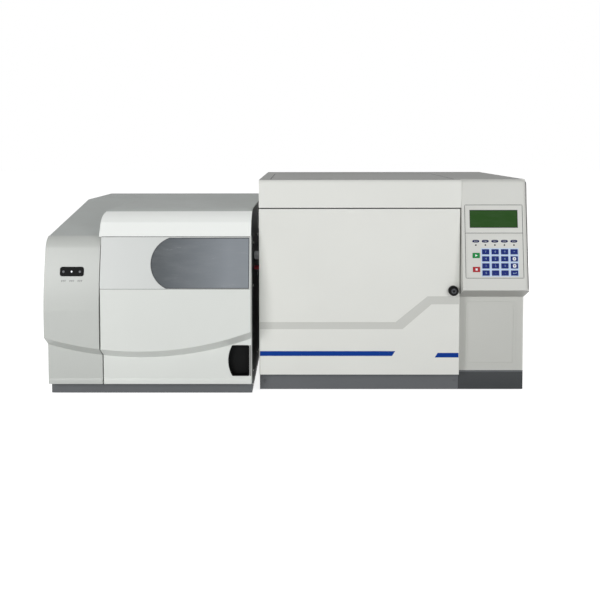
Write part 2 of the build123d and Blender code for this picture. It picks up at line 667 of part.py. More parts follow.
def console_housing():
    """Wedge-shaped moulding, open behind."""
    section = console_section()
    body = along_x(section, console_x0, gr)
    edge = body.edges().filter_by(Axis.Y).group_by(Axis.Z)[-1].sort_by(Axis.X)[-1]
    hollow = along_x(offset(section, -console_wall), console_x0 + console_wall, gr - console_wall)
    body = fillet(edge, console_corner_r)
    body -= hollow
    body -= block((console_x0 - 1, gr + 1), (gf, gf + 20), (0, gc_h + 1))
    body -= on_face(plate_window(), -console_wall - 1, 1)
    body -= on_face(lcd_window(), -console_wall - 1, 1)
    return body - on_face(frame_grooves(), -groove_d, 1)


def key_places():
    """Name and middle of each key on the console's face."""
    places = {}
    for row in range(4):
        for column in range(4):
            u = key_in_x + column * key_pitch_x
            v = face_v(key_row_z + (3 - row) * key_pitch_z)
            places[f"key_{row * 4 + column + 1:02d}"] = (u, v)
    command_u = key_in_x - key_pitch_x
    places["key_start"] = (command_u, face_v(start_key_z))
    places["key_stop"] = (command_u, face_v(stop_key_z))
    return places


def key_shape(grow):
    return Rectangle(key_w + 2 * grow, key_h + 2 * grow)


def keypad_plate():
    plate = on_face(plate_window(-0.15), -console_wall, 0)
    plate += on_face(plate_window(3.0), -console_wall - 1.5, -console_wall)
    for u, v in key_places().values():
        plate -= on_face(Pos(u, v) * key_shape(key_gap), -console_wall - 3, 1)
        plate -= on_face(Pos(u, v) * key_shape(key_gap + key_flange), -console_wall - 3, -console_wall)
    return plate


def key(u, v):
    """Key cap with a flange behind the plate that keeps it in."""
    cap = on_face(Pos(u, v) * key_shape(0), -console_wall - 0.1, key_proud)
    top = cap.edges().sort_by(lambda e: e.center().dot(console_face.z_dir))[-4:]
    cap = chamfer(top, 0.6)
    flange = Pos(u, v) * key_shape(key_flange)
    return cap + on_face(flange, -console_wall - 0.1 - key_flange_t, -console_wall - 0.1)


def lcd_display():
    glass = on_face(lcd_window(-0.2), -console_wall, -1.0)
    return glass + on_face(lcd_window(4.0), -console_wall - 6.0, -console_wall)


def electronics():
    """Main board on the right panel, keypad board behind the console and the mains inlet."""
    x1 = gr - sheet
    face = x1 - post_l - board_t
    y0, y1, z0, z1 = gf + board_in_y, gf + board_in_y + board_l, board_z, board_z + board_h
    board = block((face, face + board_t), (y0, y1), (z0, z1))
    for y in (y0 + post_w, y1 - post_w):
        for z in (z0 + post_w, z1 - post_w):
            board += block((face + board_t, x1), (y - post_w / 2, y + post_w / 2),
                           (z - post_w / 2, z + post_w / 2))
    for i, (along, up, out) in enumerate(board_parts):
        y = y0 + post_w + i * part_pitch
        z = z0 + part_z + (i % 2) * part_step
        board += block((face - out, face), (y, y + along), (z, z + up))
    low = -console_wall - 5.0 - key_travel
    u0, u1 = frame_in_x + plate_margin - 2, frame_in_x + frame_w - plate_margin + 2
    v0, v1 = face_v(frame_z0) + plate_margin - 2, face_v(frame_split_z) - plate_margin + 2
    keypad = on_face(rectangle(u0, u1, v0, v1), low - board_t, low)
    for u in (u0 + 1.8, u1 - 1.8):
        for v in (v0 + 1.8, v1 - 1.8):
            keypad += on_face(Pos(u, v) * Rectangle(3.0, 3.0), low, -console_wall - 1.5)
    x = gl + inlet_in_x
    socket = block((x - inlet_w / 2 + 0.2, x + inlet_w / 2 - 0.2), (gb - inlet_d, gb),
                   (inlet_z - inlet_h / 2 + 0.2, inlet_z + inlet_h / 2 - 0.2))
    socket += block((x - inlet_w / 2 - 5, x + inlet_w / 2 + 5), (gb, gb + 2.5),
                    (inlet_z - inlet_h / 2 - 3, inlet_z + inlet_h / 2 + 3))
    socket -= block((x - 12, x + 12), (gb - 16, gb + 3), (inlet_z - 8, inlet_z + 8))
    for dx in (-7, 0, 7):
        socket += block((x + dx - 1, x + dx + 1), (gb - 17, gb - 3), (inlet_z - 3, inlet_z + 3))
    return [board, keypad, socket]


def gas_manifold():
    """Flow-control block with its valves, and the three tube fittings through the rear panel."""
    x, y1 = gl + gas_in_x, gb - sheet
    top = gas_z + gas_block_h / 2
    body = block((x - gas_block_w / 2, x + gas_block_w / 2), (y1 - gas_block_d, y1),
                 (gas_z - gas_block_h / 2, top))
    valve_y = y1 - gas_block_d / 2
    fittings = []
    for i in (-1, 0, 1):
        px = x + i * gas_pitch
        body += block((px - valve_w / 2, px + valve_w / 2), (valve_y - valve_w / 2, valve_y + valve_w / 2),
                      (top, top + valve_h))
        fitting = rod_y(px, gas_z, gas_tube_r, y1, gb + gas_out)
        fitting += along_y(Pos(px, gas_z) * RegularPolygon(gas_nut_r, 6), gb, gb + gas_nut_t)
        fittings.append(fitting - rod_y(px, gas_z, gas_bore_r, y1 - 1, gb + gas_out + 1))
    return [body] + fittings


# ---------------------------------------------------------------- detector front
def front_fixed_section():
    """Side section of the fixed front, in (y, z): upright, then rounded back to the roof."""
    p, top = ms_mid_proud, ms_roof_z
    back = mf + front_back
    shoulder = (mf - shoulder_proud, top - shoulder_drop)
    line = Polyline(shoulder, (back, shoulder[1]), (back, ms_front_z0), (mf - p, ms_front_z0),
                    (mf - p, bow_z0))
    bow = ThreePointArc((mf - p, bow_z0), (mf - bow_proud, bow_z1), shoulder)
    body = make_face(Curve() + [line, bow])
    crown = ThreePointArc(shoulder, (mf - crown_proud, top - crown_drop), (mf - ms_roof_proud, top))
    rest = Polyline((mf - ms_roof_proud, top), (back, top), (back, shoulder[1]), shoulder)
    return body + make_face(Curve() + [crown, rest])


def front_door_section():
    """Side section of the door, in (y, z): upright with a flat facet above."""
    p, top = ms_mid_proud, door_top_z - 1.0
    back = mf + front_back
    return outline((back, ms_front_z0), (mf - p, ms_front_z0), (mf - p, facet_z),
                   (mf - facet_top_proud, top), (back, top))


def step_cone(inset):
    """Everything above the curved step, as a cone about an axis along Y."""
    slope = math.atan2(step_h, ms_mid_proud - ms_low_proud)
    shrink = inset / math.cos(slope)
    per_mm = step_h / (ms_mid_proud - ms_low_proud)
    back, front = -14.0, ms_mid_proud + 6.0
    r_back = step_r + (ms_mid_proud - back) * per_mm - shrink
    r_front = step_r - (front - ms_mid_proud) * per_mm - shrink
    centre_z = step_low_z + step_r
    cone = Cone(r_back, r_front, front - back)
    return Pos(ml + step_x, mf - (front + back) / 2, centre_z) * Rot(90, 0, 0) * cone


def front_form(section, x0, x1, inset):
    """A front moulding between two seams: low below the step, full depth above it."""
    if inset:
        section = offset(section, -inset)
    body = along_x(section, x0 + inset, x1 - inset)
    upper = body & step_cone(inset)
    lower = body & block((ml - 9, mr + 9), (mf - ms_low_proud + inset, mf + 20), (0, ms_h))
    return upper + lower


def hollow_front(section, x0, x1, gap):
    """A front moulding as a shell that ends 'gap' in front of the cabinet."""
    shell = front_form(section, x0, x1, 0) - front_form(section, x0, x1, ms_wall)
    return shell - block((ml - 9, mr + 9), (mf - gap, mf + 30), (0, ms_h))


def bezel_frame():
    tilt = math.radians(bezel_tilt)
    return Plane(origin=(ml + bezel_x, mf - bezel_back, bezel_z), x_dir=(1, 0, 0),
                 z_dir=(0, -math.cos(tilt), math.sin(tilt)))


def ms_front_fascia():
    shell = hollow_front(front_fixed_section(), ml, ml + ms_seam_x - ms_seam / 2, 0)
    pocket = RectangleRounded(bezel_w + 0.3, bezel_h + 0.3, 5.0)
    return shell - extrude(bezel_frame().offset(-9) * pocket, amount=14)


def indicator_bezel():
    """Black bar with three lamps."""
    plane = bezel_frame()
    bar = extrude(plane.offset(-bezel_t + bezel_proud) * RectangleRounded(bezel_w, bezel_h, bezel_r),
                  amount=bezel_t)
    lamps = []
    for i in (-1, 0, 1):
        lamps.append(extrude(plane.offset(bezel_proud) * Pos(i * lamp_pitch, 0) * Circle(lamp_r),
                             amount=lamp_proud))
    return [bar] + lamps


def cup_outline(grow):
    """D-shaped grip, bowed on its left side, in (x, z)."""
    x1 = mr - cup_edge + grow
    x0 = x1 - cup_w + cup_bow - grow * 2
    z0, z1 = cup_z0 - grow, cup_z0 + cup_h + grow
    bow = ThreePointArc((x0, z0), (x0 - cup_bow, (z0 + z1) / 2), (x0, z1))
    shape = make_face(Curve() + [bow, Polyline((x0, z1), (x1, z1), (x1, z0), (x0, z0))])
    return fillet(shape.vertices(), 3.0 + max(grow, 0))


def window_outline(shrink):
    """Round left end, straight to the right edge, cut off by the facet's edges."""
    v_mid = window_z - facet_z
    disc = Pos(window_end_x, v_mid) * Circle(window_r - shrink)
    bar = rectangle(window_end_x, ms_w - ms_wall - shrink, v_mid - window_r + shrink, v_mid + window_r - shrink)
    band = rectangle(0, ms_w + 9, 1.5 + shrink, facet_len - 2.5 - shrink)
    return (disc + bar) & band


def ms_door():
    x0, x1 = ml + ms_seam_x + ms_seam / 2, mr
    door = hollow_front(front_door_section(), x0, x1, ms_door_gap)
    edge = door.edges().filter_by(Axis.Z).group_by(Axis.Y)[0].sort_by(Axis.X)[0]
    door = fillet(edge, 2.5)
    ledge_pad = extrude(facet_plane.offset(-6.0) * (window_outline(-2.0) & rectangle(
        ms_seam_x, ms_w - ms_wall, 2.0, facet_len - 3.5)), amount=3.5)
    door += ledge_pad
    door -= extrude(facet_plane.offset(-window_pocket) * window_outline(0), amount=9)
    door -= extrude(facet_plane.offset(-12) * window_outline(window_lip), amount=20)
    door -= along_y(cup_outline(0.2), mf - ms_low_proud - 5, mf - ms_low_proud + ms_wall + 1)
    ax, ay = ms_axis
    for z in ms_arm_zs:
        notch = (z - slip, z + ms_arm_t + slip)
        door += block((x0 + 1.5, ax + 7), (mf - ms_mid_proud + 1.5, ay + 7),
                      (notch[0] - ms_pin_reach - 1, notch[1] + ms_pin_reach + 1))
        door -= block((x0 - 1, ax + 8), (ay - ms_arm_half - 0.1, mf + 1), notch)
        door -= rod_z(ax, ay, ms_pin_r + running, notch[0] - ms_pin_reach - slip, notch[1] + ms_pin_reach + slip)
    return door


def door_window():
    """Smoked pane in the door's recess."""
    return extrude(facet_plane.offset(-window_pocket) * window_outline(0.25), amount=window_t)


def pull_cup():
    """Finger cup let into the door's lower corner."""
    face_y = mf - ms_low_proud
    cup = along_y(cup_outline(0), face_y - 0.6, face_y + cup_depth)
    cup -= along_y(cup_outline(-cup_wall), face_y - 2, face_y + cup_depth - cup_wall)
    return cup


# ---------------------------------------------------------------- detector cabinet
def roof_section(drop):
    """Side section of the casing left of the hood, in (y, z), lowered by 'drop'."""
    return outline((mf, ms_roof_z - drop), (mf + ms_roof_run, ms_h - drop), (mb, ms_h - drop),
                   (mb, ms_plinth), (mf, ms_plinth))


def hood_section():
    """Side section of the raised hood over the door, in (y, z)."""
    face = Polyline((mf - facet_top_proud, door_top_z), (mf - hood_proud, hood_z))
    brow = TangentArc((mf + hood_back, ms_h), (mf - hood_proud, hood_z), tangent=(-1, 0))
    rest = Polyline((mf + hood_back, ms_h), (mb, ms_h), (mb, door_top_z), (mf - facet_top_proud, door_top_z))
    return make_face(Curve() + [face, brow, rest])


def hood_form(inset):
    left = hood_x0 + inset
    section = hood_section()
    if inset:
        section = offset(section, -inset)
        section += rectangle(mf + 30, mb, door_top_z - 20, ms_h - inset - 9)
        section += rectangle(mf - facet_top_proud + 2 * inset + 6, mf + 40, door_top_z - 20, door_top_z + 9)
    front = rectangle(left, mr + 30, door_top_z - 30, ms_h - inset)
    corner = front.vertices().sort_by(Axis.X)[:2].sort_by(Axis.Y)[-1]
    front = fillet(corner, hood_corner_r - inset)
    return along_x(section, left - 1, mr) & along_y(front, mf - 80, mb)


def ms_casing():
    """Left side, sloping roof and hood, as one shell open to the right, below and behind."""
    outer = along_x(roof_section(0), ml, mr) + hood_form(0)
    outer -= block((hood_x0, mr + 1), (mf - 90, mf), (0, door_top_z))
    inner = along_x(roof_section(roof_drop), ml + ms_shell, mr + 1) + hood_form(ms_shell)
    return outer - inner


def chassis_cover():
    """Right side, rear and front bulkhead of the detector."""
    upright = rectangle(mf, mb, ms_plinth, door_top_z + 2 * ms_shell)
    side = along_x(upright + hood_section(), mr - sheet, mr) - ms_casing()
    side -= rod_x(line_y, line_z, sleeve_r + 2 * hole_gap, mr - sheet - 1, mr + 1)
    side -= rod_x(line_y, conduit_z, conduit_r + hole_gap, mr - sheet - 1, mr + 1)
    rear = block((ml + ms_shell, mr - sheet), (mb - sheet, mb), (ms_plinth, ms_h - roof_drop))
    rear -= rod_y(ml + port_x, port_z, port_r + hole_gap, mb - sheet - 1, mb + 1)
    vents = slots(ml + ms_w * 0.26, ms_h * 0.36, 9, 12.0, 130.0, 4.0)
    rear -= along_y(vents, mb - sheet - 1, mb + 1)
    front = block((hood_x0 + ms_shell, mr - sheet), (mf, mf + sheet), (ms_plinth, door_top_z))
    front -= block((ml + hatch_x0, ml + hatch_x1), (mf - 1, mf + sheet + 1), (hatch_z0, hatch_z1))
    return [side, rear, front]


# ---------------------------------------------------------------- detector works
def vacuum_chamber():
    """Machined box on four legs, with its lid."""
    x = (ml + chamber_x, ml + chamber_x + chamber_w)
    y = (mf + chamber_y, mf + chamber_y + chamber_l)
    z = (chamber_z, chamber_z + chamber_h)
    box = block(x, y, z)
    box -= block((x[0] + chamber_wall, x[1] - chamber_wall), (y[0] + chamber_wall, y[1] - chamber_wall),
                 (z[0] + chamber_wall, z[1] + 1))
    box -= rod_x(line_y, line_z, line_r + running, x[1] - chamber_wall - 1, x[1] + 1)
    box -= rod_z(ml + port_x, (y[0] + y[1]) / 2, pump_r - pump_wall, z[0] - 1, z[0] + chamber_wall + 1)
    legs = []
    for lx in (x[0] + leg_w, x[1] - leg_w):
        for ly in (y[0] + leg_w, y[1] - leg_w):
            legs.append(block((lx - leg_w / 2, lx + leg_w / 2), (ly - leg_w / 2, ly + leg_w / 2),
                              (foot_h + sheet, z[0])))
    cover = block((x[0] + cover_inset, x[1] - cover_inset), (y[0] + cover_inset, y[1] - cover_inset),
                  (z[1], z[1] + cover_t))
    return [box, chamfer(cover.edges().filter_by(Axis.Z), cover_corner)] + legs


def turbo_pump():
    """Turbomolecular pump on its controller, and the fore-line out to the rear."""
    x, y = ml + port_x, mf + chamber_y + chamber_l / 2
    z0, z1 = foot_h + sheet, chamber_z
    half = controller_w / 2
    pump = block((x - half, x + half), (y - half, y + half), (z0, z0 + controller_h))
    pump += rod_z(x, y, pump_r, z0 + controller_h, z1 - pump_flange_t)
    pump += rod_z(x, y, pump_flange_r, z1 - pump_flange_t, z1)
    fin_z = z0 + controller_h + fin_pitch
    for i in range(2):
        pump += rod_z(x, y, pump_r + fin_proud, fin_z + i * fin_pitch, fin_z + i * fin_pitch + fin_t)
    pump -= rod_z(x, y, pump_r - pump_wall, z1 - pump_mouth, z1 + 1)
    line = rod_y(x, port_z, port_r, y + half, mb + port_out)
    line += rod_y(x, port_z, port_flange_r, mb + port_out - port_flange_t, mb + port_out)
    return [pump, line - rod_y(x, port_z, port_bore_r, mb - port_bore_in, mb + port_out + 1)]


def quadrupole():
    """Four rods held by two ceramic discs, with the ion source at the front."""
    x = ml + chamber_x + chamber_w / 2
    z = chamber_z + chamber_h / 2 + quad_lift
    floor = chamber_z + chamber_wall
    y0 = mf + chamber_y + chamber_wall + quad_back
    rods = None
    for dx, dz in ((1, 1), (1, -1), (-1, 1), (-1, -1)):
        bar = rod_y(x + dx * quad_half, z + dz * quad_half, quad_rod_r, y0, y0 + rod_len)
        rods = bar if rods is None else rods + bar
    for y in (y0 + quad_end, y0 + rod_len - quad_end - disc_t):
        rods += rod_y(x, z, disc_r, y, y + disc_t)
        rods += block((x - foot_half, x + foot_half), (y, y + disc_t), (floor, z))
    source = block((x - source_half, x + source_half), (y0 - source_gap - source_l, y0 - source_gap),
                   (floor, z + source_half))
    return [rods, source - rod_x(line_y, line_z, line_r + hole_gap, x, x + source_half + 1)]


def ms_electronics():
    """Radio-frequency supply in a finned box."""
    x = (ml + rf_x, ml + rf_x + rf_w)
    y = (mf + rf_y, mf + rf_y + rf_l)
    z = (foot_h + sheet, foot_h + sheet + rf_h)
    box = block(x, y, z)
    for i in range(rf_fins):
        fin_y = y[0] + rf_fin_in + i * (rf_l - 2 * rf_fin_in) / (rf_fins - 1)
        box += block((x[0] + 6, x[1] - 6), (fin_y - rf_fin_t / 2, fin_y + rf_fin_t / 2),
                     (z[1] - 1, z[1] + rf_fin_h))
    return box


def transfer_line():
    """Heated line from the oven into the detector, and the sheath for its wiring."""
    wall_x = ml + chamber_x + chamber_w
    tube = rod_x(line_y, line_z, line_r, wall_x - chamber_wall, oven_x0 + line_end)
    tube += rod_x(line_y, line_z, sleeve_r, mr - sleeve_in, oven_x0 - liner_t)
    for x in (mr + nut_gap, gl - nut_gap - nut_t):
        tube += along_x(Pos(line_y, line_z) * RegularPolygon(nut_r, 6), x, x + nut_t)
    tube += rod_x(line_y, line_z, flange_r, wall_x, wall_x + flange_t)
    return [tube, rod_x(line_y, conduit_z, conduit_r, mr - sheet, gl)]


# ---------------------------------------------------------------- write every node
def build():
    emit("gc_base_tray", tray(gl, gr, gf, gb, gc_plinth))
    emit("rubber_feet", *feet())
    emit("gc_left_panel", side_panel(gl, False))
    emit("gc_right_panel", side_panel(gr - sheet, True))
    emit("gc_rear_panel", rear_panel(), vent_duct())
    emit("gc_top_cover", top_cover())
    emit("oven_front_frame", *front_frame())
    emit("lower_front_panel", lower_front_panel())
    emit("oven_liner", oven_liner())
    emit("oven_insulation", oven_insulation())
    emit("fan_guard", fan_guard())
    emit("oven_fan", oven_fan())
    emit("fan_motor", fan_motor())
    emit("heater_coil", heater_coil())
    emit("column_hanger", *column_hanger())
    emit("column_coil", column_coil())
    emit("injector", injector())
    emit("hinge_pins", *hinges())
    emit("oven_door", oven_door())
    emit("door_liner", door_liner())
    emit("door_gasket", door_gasket())
    emit("latch_knob", latch_knob())
    emit("top_lid", lid())
    emit("vent_flap", vent_flap())
    emit("console_housing", console_housing())
    emit("keypad_plate", keypad_plate())
    emit("lcd_display", lcd_display())
    for name, (u, v) in key_places().items():
        emit(name, key(u, v))
    emit("circuit_boards", *electronics())
    emit("gas_manifold", *gas_manifold())
    emit("ms_base_tray", tray(ml, mr, mf, mb, ms_plinth))
    emit("ms_casing", ms_casing())
    emit("ms_chassis_cover", *chassis_cover())
    emit("ms_front_fascia", ms_front_fascia())
    emit("indicator_bezel", *indicator_bezel())
    emit("ms_door", ms_door())
    emit("door_window", door_window())
    emit("pull_cup", pull_cup())
    emit("vacuum_chamber", *vacuum_chamber())
    emit("turbo_pump", *turbo_pump())
    emit("quadrupole", *quadrupole())
    emit("ms_electronics", ms_electronics())
    emit("transfer_line", *transfer_line())


build()
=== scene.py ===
"""Finishes, printed marks, small fittings, lamps and camera for a gas chromatograph and its detector.

Metres, +Z up, -Y to the front.  Sizes are written in millimetres and multiplied by MM.
"""
import json
import math

import bmesh
import bpy
from mathutils import Matrix, Vector

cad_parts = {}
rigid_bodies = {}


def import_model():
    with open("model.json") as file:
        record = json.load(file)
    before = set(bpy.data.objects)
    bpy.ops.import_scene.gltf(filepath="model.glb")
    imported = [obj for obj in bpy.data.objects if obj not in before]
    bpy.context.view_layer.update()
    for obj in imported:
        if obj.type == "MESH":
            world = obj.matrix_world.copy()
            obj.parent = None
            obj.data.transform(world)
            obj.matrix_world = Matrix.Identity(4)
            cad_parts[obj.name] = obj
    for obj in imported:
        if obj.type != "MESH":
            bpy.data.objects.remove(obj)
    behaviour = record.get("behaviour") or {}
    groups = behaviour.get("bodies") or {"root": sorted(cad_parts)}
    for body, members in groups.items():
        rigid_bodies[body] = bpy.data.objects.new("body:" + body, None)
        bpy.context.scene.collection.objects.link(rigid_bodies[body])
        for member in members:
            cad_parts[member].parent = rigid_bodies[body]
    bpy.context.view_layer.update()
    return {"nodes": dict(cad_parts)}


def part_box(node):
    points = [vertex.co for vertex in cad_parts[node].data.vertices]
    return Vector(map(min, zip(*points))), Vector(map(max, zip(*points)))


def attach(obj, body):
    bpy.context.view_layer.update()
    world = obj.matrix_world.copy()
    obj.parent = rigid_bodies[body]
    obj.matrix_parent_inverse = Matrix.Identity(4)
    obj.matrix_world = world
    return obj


MM = 0.001
SKIN = 0.12             # thickness of a printed film, in mm

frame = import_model()
nodes = frame["nodes"]


# ---------------------------------------------------------------- colours, as sRGB bytes
def rgb(red, green, blue):
    """An sRGB colour as the linear one that a shader takes."""
    linear = []
    for part in (red, green, blue):
        c = part / 255
        linear.append(c / 12.92 if c <= 0.04045 else ((c + 0.055) / 1.055) ** 2.4)
    return (*linear, 1.0)


CABINET_WHITE = rgb(226, 227, 222)
# painted shade: the cabinet white darkened for the lower front panel, which sits back in the console's shade
CABINET_PAINTED_SHADE = rgb(196, 197, 192)
# painted shade: a darker copy of the detector's moulding white for the fixed front to the left, where the light
# falls off
FASCIA_SHADED_WHITE = rgb(190, 193, 189)
# painted shade: a darker copy of the detector door's white for its upward facet
FACET_SHADED_WHITE = rgb(203, 206, 204)
# painted light: a brighter copy of the moulding white for the detector casing's front faces
HOOD_LIT_WHITE = rgb(247, 250, 247)
# painted shade: the console's white darkened for its underside
UNDER_SHADED_GREY = rgb(168, 168, 164)
# painted shade: the cabinet white greyed for the upward faces of the oven's top and lid
LID_SHADED_GREY = rgb(166, 167, 165)
MOULDING_WHITE = rgb(218, 221, 217)
CONSOLE_WHITE = rgb(208, 209, 204)
# painted shade: the detector casing's white, greyed for its top, slopes and sides that face away from the lamps
DECK_SHADED_GREY = rgb(192, 197, 195)
PLINTH_GREY = rgb(92, 95, 98)
CHASSIS_BLACK = rgb(76, 79, 79)
PRINT_BLUE = rgb(8, 56, 142)
PRINT_GREY = rgb(201, 202, 197)
KEY_NAVY = rgb(4, 32, 110)
KEY_GREEN = rgb(12, 134, 62)
KEY_RED = rgb(172, 36, 44)
LABEL_NAVY = rgb(24, 32, 78)
LCD_GREEN = rgb(34, 72, 22)
LEGEND_WHITE = rgb(232, 236, 240)
LEGEND_PALE = rgb(150, 174, 212)
LEGEND_GREY = rgb(84, 86, 86)
SMOKE = rgb(104, 109, 116)
GRIP_BLACK = rgb(4, 5, 5)
SHEATH_RED = rgb(238, 84, 96)
DUST = rgb(196, 194, 188)
CERAMIC = rgb(236, 230, 214)


# ---------------------------------------------------------------- shader building
def add(tree, kind, inputs=None, **settings):
    """A shader node; an input is a socket to link or a value to set."""
    made = tree.nodes.new("ShaderNode" + kind)
    for key, value in settings.items():
        setattr(made, key, value)
    for key, value in (inputs or {}).items():
        if isinstance(value, bpy.types.NodeSocket):
            tree.links.new(value, made.inputs[key])
        else:
            made.inputs[key].default_value = value
    return made


def mix(tree, factor, low, high):
    """One colour laid over another."""
    return add(tree, "Mix", {0: factor, 6: low, 7: high}, data_type="RGBA").outputs[2]


def remap(tree, value, from_low, from_high, to_low, to_high):
    made = add(tree, "MapRange", {"Value": value, "From Min": from_low, "From Max": from_high,
                                  "To Min": to_low, "To Max": to_high})
    return made.outputs["Result"]


def maths(tree, operation, first, second):
    return add(tree, "Math", {0: first, 1: second}, operation=operation).outputs[0]


def noise(tree, vector, scale, detail=2.0, roughness=0.5):
    made = add(tree, "TexNoise", {"Vector": vector, "Scale": scale, "Detail": detail,
                                  "Roughness": roughness})
    return made.outputs["Fac"]


def group(name, takes, gives):
    """An empty shader node group; returns its tree, its inputs and the node that collects its outputs."""
    tree = bpy.data.node_groups.new(name, "ShaderNodeTree")
    for label, kind, start in takes:
        socket = tree.interface.new_socket(label, in_out="INPUT", socket_type="NodeSocket" + kind)
        socket.default_value = start
    for label, kind in gives:
        tree.interface.new_socket(label, in_out="OUTPUT", socket_type="NodeSocket" + kind)
    source = tree.nodes.new("NodeGroupInput")
    return tree, source.outputs, tree.nodes.new("NodeGroupOutput")


def object_point(tree):
    return tree.nodes.new("ShaderNodeTexCoord").outputs["Object"]


def coat_group():
    """Sprayed or moulded skin: fine grain, faint tone drift and a film of dust on what faces up."""
    tree, taken, out = group(
        "coat_skin",
        [("Colour", "Color", CABINET_WHITE), ("Grain Scale", "Float", 900.0), ("Drift", "Float", 0.04),
         ("Dust", "Float", 0.1), ("Roughness", "Float", 0.45)],
        [("Colour", "Color"), ("Roughness", "Float"), ("Height", "Float")])
    point = object_point(tree)
    grain = noise(tree, point, taken["Grain Scale"], 3.0)
    cloud = noise(tree, point, 5.0, 3.0)
    shade = remap(tree, cloud, 0.3, 0.7, 0.0, taken["Drift"])
    toned = mix(tree, shade, taken["Colour"], (0.0, 0.0, 0.0, 1.0))
    facing = add(tree, "SeparateXYZ", {"Vector": tree.nodes.new("ShaderNodeNewGeometry").outputs["Normal"]})
    settled = remap(tree, facing.outputs["Z"], 0.7, 1.0, 0.0, taken["Dust"])
    patchy = maths(tree, "MULTIPLY", settled, remap(tree, noise(tree, point, 26.0, 4.0), 0.3, 0.7, 0.4, 1.0))
    tree.links.new(mix(tree, patchy, toned, DUST), out.inputs["Colour"])
    rough = maths(tree, "ADD", taken["Roughness"], remap(tree, grain, 0.2, 0.8, -0.05, 0.05))
    tree.links.new(maths(tree, "ADD", rough, patchy), out.inputs["Roughness"])
    tree.links.new(grain, out.inputs["Height"])
    return tree


def brushed_group():
    """Long fine scratches along one axis, with a dull bloom in patches."""
    tree, taken, out = group(
        "brushed_lines",
        [("Colour", "Color", rgb(200, 200, 198)), ("Stretch", "Vector", (8.0, 900.0, 900.0)),
         ("Roughness", "Float", 0.3), ("Bloom", "Float", 0.15)],
        [("Colour", "Color"), ("Roughness", "Float"), ("Height", "Float")])
    point = object_point(tree)
    stretched = add(tree, "Mapping", {"Vector": point, "Scale": taken["Stretch"]}).outputs[0]
    lines = noise(tree, stretched, 1.0, 4.0, 0.6)
    bloom = remap(tree, noise(tree, point, 14.0, 4.0), 0.35, 0.7, 0.0, taken["Bloom"])
    dark = remap(tree, lines, 0.3, 0.7, 0.22, 0.0)
    toned = mix(tree, dark, taken["Colour"], (0.05, 0.05, 0.05, 1.0))
    tree.links.new(mix(tree, bloom, toned, rgb(150, 146, 138)), out.inputs["Colour"])
    rough = maths(tree, "ADD", taken["Roughness"], remap(tree, lines, 0.2, 0.8, -0.08, 0.1))
    tree.links.new(maths(tree, "ADD", rough, bloom), out.inputs["Roughness"])
    tree.links.new(lines, out.inputs["Height"])
    return tree


def wipes_and_reflection_group():
    """Faint wiping marks and finger grease on something glossy, over a painted reflection: a fade to a second
    colour along X.
    """
    tree, taken, out = group(
        "gloss_wipes_and_reflection",
        [("Colour", "Color", SMOKE), ("Far Colour", "Color", SMOKE), ("Fade From", "Float", 0.0),
         ("Fade To", "Float", 1.0), ("Roughness", "Float", 0.12), ("Marks", "Float", 0.15)],
        [("Colour", "Color"), ("Roughness", "Float"), ("Height", "Float")])
    point = object_point(tree)
    along = add(tree, "SeparateXYZ", {"Vector": point}).outputs["X"]
    faded = mix(tree, remap(tree, along, taken["Fade From"], taken["Fade To"], 0.0, 1.0), taken["Colour"],
                taken["Far Colour"])
    swept = add(tree, "Mapping", {"Vector": point, "Rotation": (0.0, 0.5, 0.3), "Scale": (18.0, 18.0, 90.0)})
    wipes = remap(tree, noise(tree, swept.outputs[0], 1.0, 5.0, 0.65), 0.45, 0.8, 0.0, taken["Marks"])
    tree.links.new(maths(tree, "ADD", taken["Roughness"], wipes), out.inputs["Roughness"])
    tree.links.new(mix(tree, maths(tree, "MULTIPLY", wipes, 0.4), faded, rgb(190, 190, 190)),
                   out.inputs["Colour"])
    tree.links.new(noise(tree, point, 60.0, 2.0), out.inputs["Height"])
    return tree


def fibre_group():
    """Matted or braided fibre."""
    tree, taken, out = group(
        "fibres",
        [("Colour", "Color", rgb(214, 208, 190)), ("Scale", "Float", 260.0), ("Shade", "Float", 0.35)],
        [("Colour", "Color"), ("Height", "Float")])
    point = object_point(tree)
    warped = add(tree, "Mapping", {"Vector": point, "Scale": (1.0, 3.0, 0.6)}).outputs[0]
    strands = noise(tree, warped, taken["Scale"], 6.0, 0.7)
    tufts = noise(tree, point, 40.0, 3.0)
    depth = maths(tree, "MULTIPLY", remap(tree, strands, 0.3, 0.7, 1.0, 0.0), taken["Shade"])
    toned = mix(tree, depth, taken["Colour"], rgb(90, 82, 66))
    tree.links.new(mix(tree, remap(tree, tufts, 0.4, 0.7, 0.0, 0.2), toned, rgb(236, 232, 220)),
                   out.inputs["Colour"])
    tree.links.new(maths(tree, "ADD", strands, tufts), out.inputs["Height"])
    return tree


COAT, BRUSHED = coat_group(), brushed_group()
WIPES_AND_REFLECTION, FIBRES = wipes_and_reflection_group(), fibre_group()


finishes = {}


def material(name, effect, values, bump, bump_depth, **constants):
    """A finish whose varying colour, roughness and height come from one of the groups."""
    made = bpy.data.materials.new(name)
    made.use_nodes = True
    tree = made.node_tree
    tree.nodes.clear()
    out = tree.nodes.new("ShaderNodeOutputMaterial")
    shader = tree.nodes.new("ShaderNodeBsdfPrincipled")
    tree.links.new(shader.outputs[0], out.inputs[0])
    placed = tree.nodes.new("ShaderNodeGroup")
    placed.node_tree = effect
    for key, value in values.items():
        placed.inputs[key].default_value = value
    tree.links.new(placed.outputs["Colour"], shader.inputs["Base Color"])
    if "Roughness" in placed.outputs:
        tree.links.new(placed.outputs["Roughness"], shader.inputs["Roughness"])
    relief = add(tree, "Bump", {"Strength": bump, "Distance": bump_depth * MM,
                                "Height": placed.outputs["Height"]})
    tree.links.new(relief.outputs[0], shader.inputs["Normal"])
    for key, value in constants.items():
        shader.inputs[key.replace("_", " ")].default_value = value
    finishes[name] = made


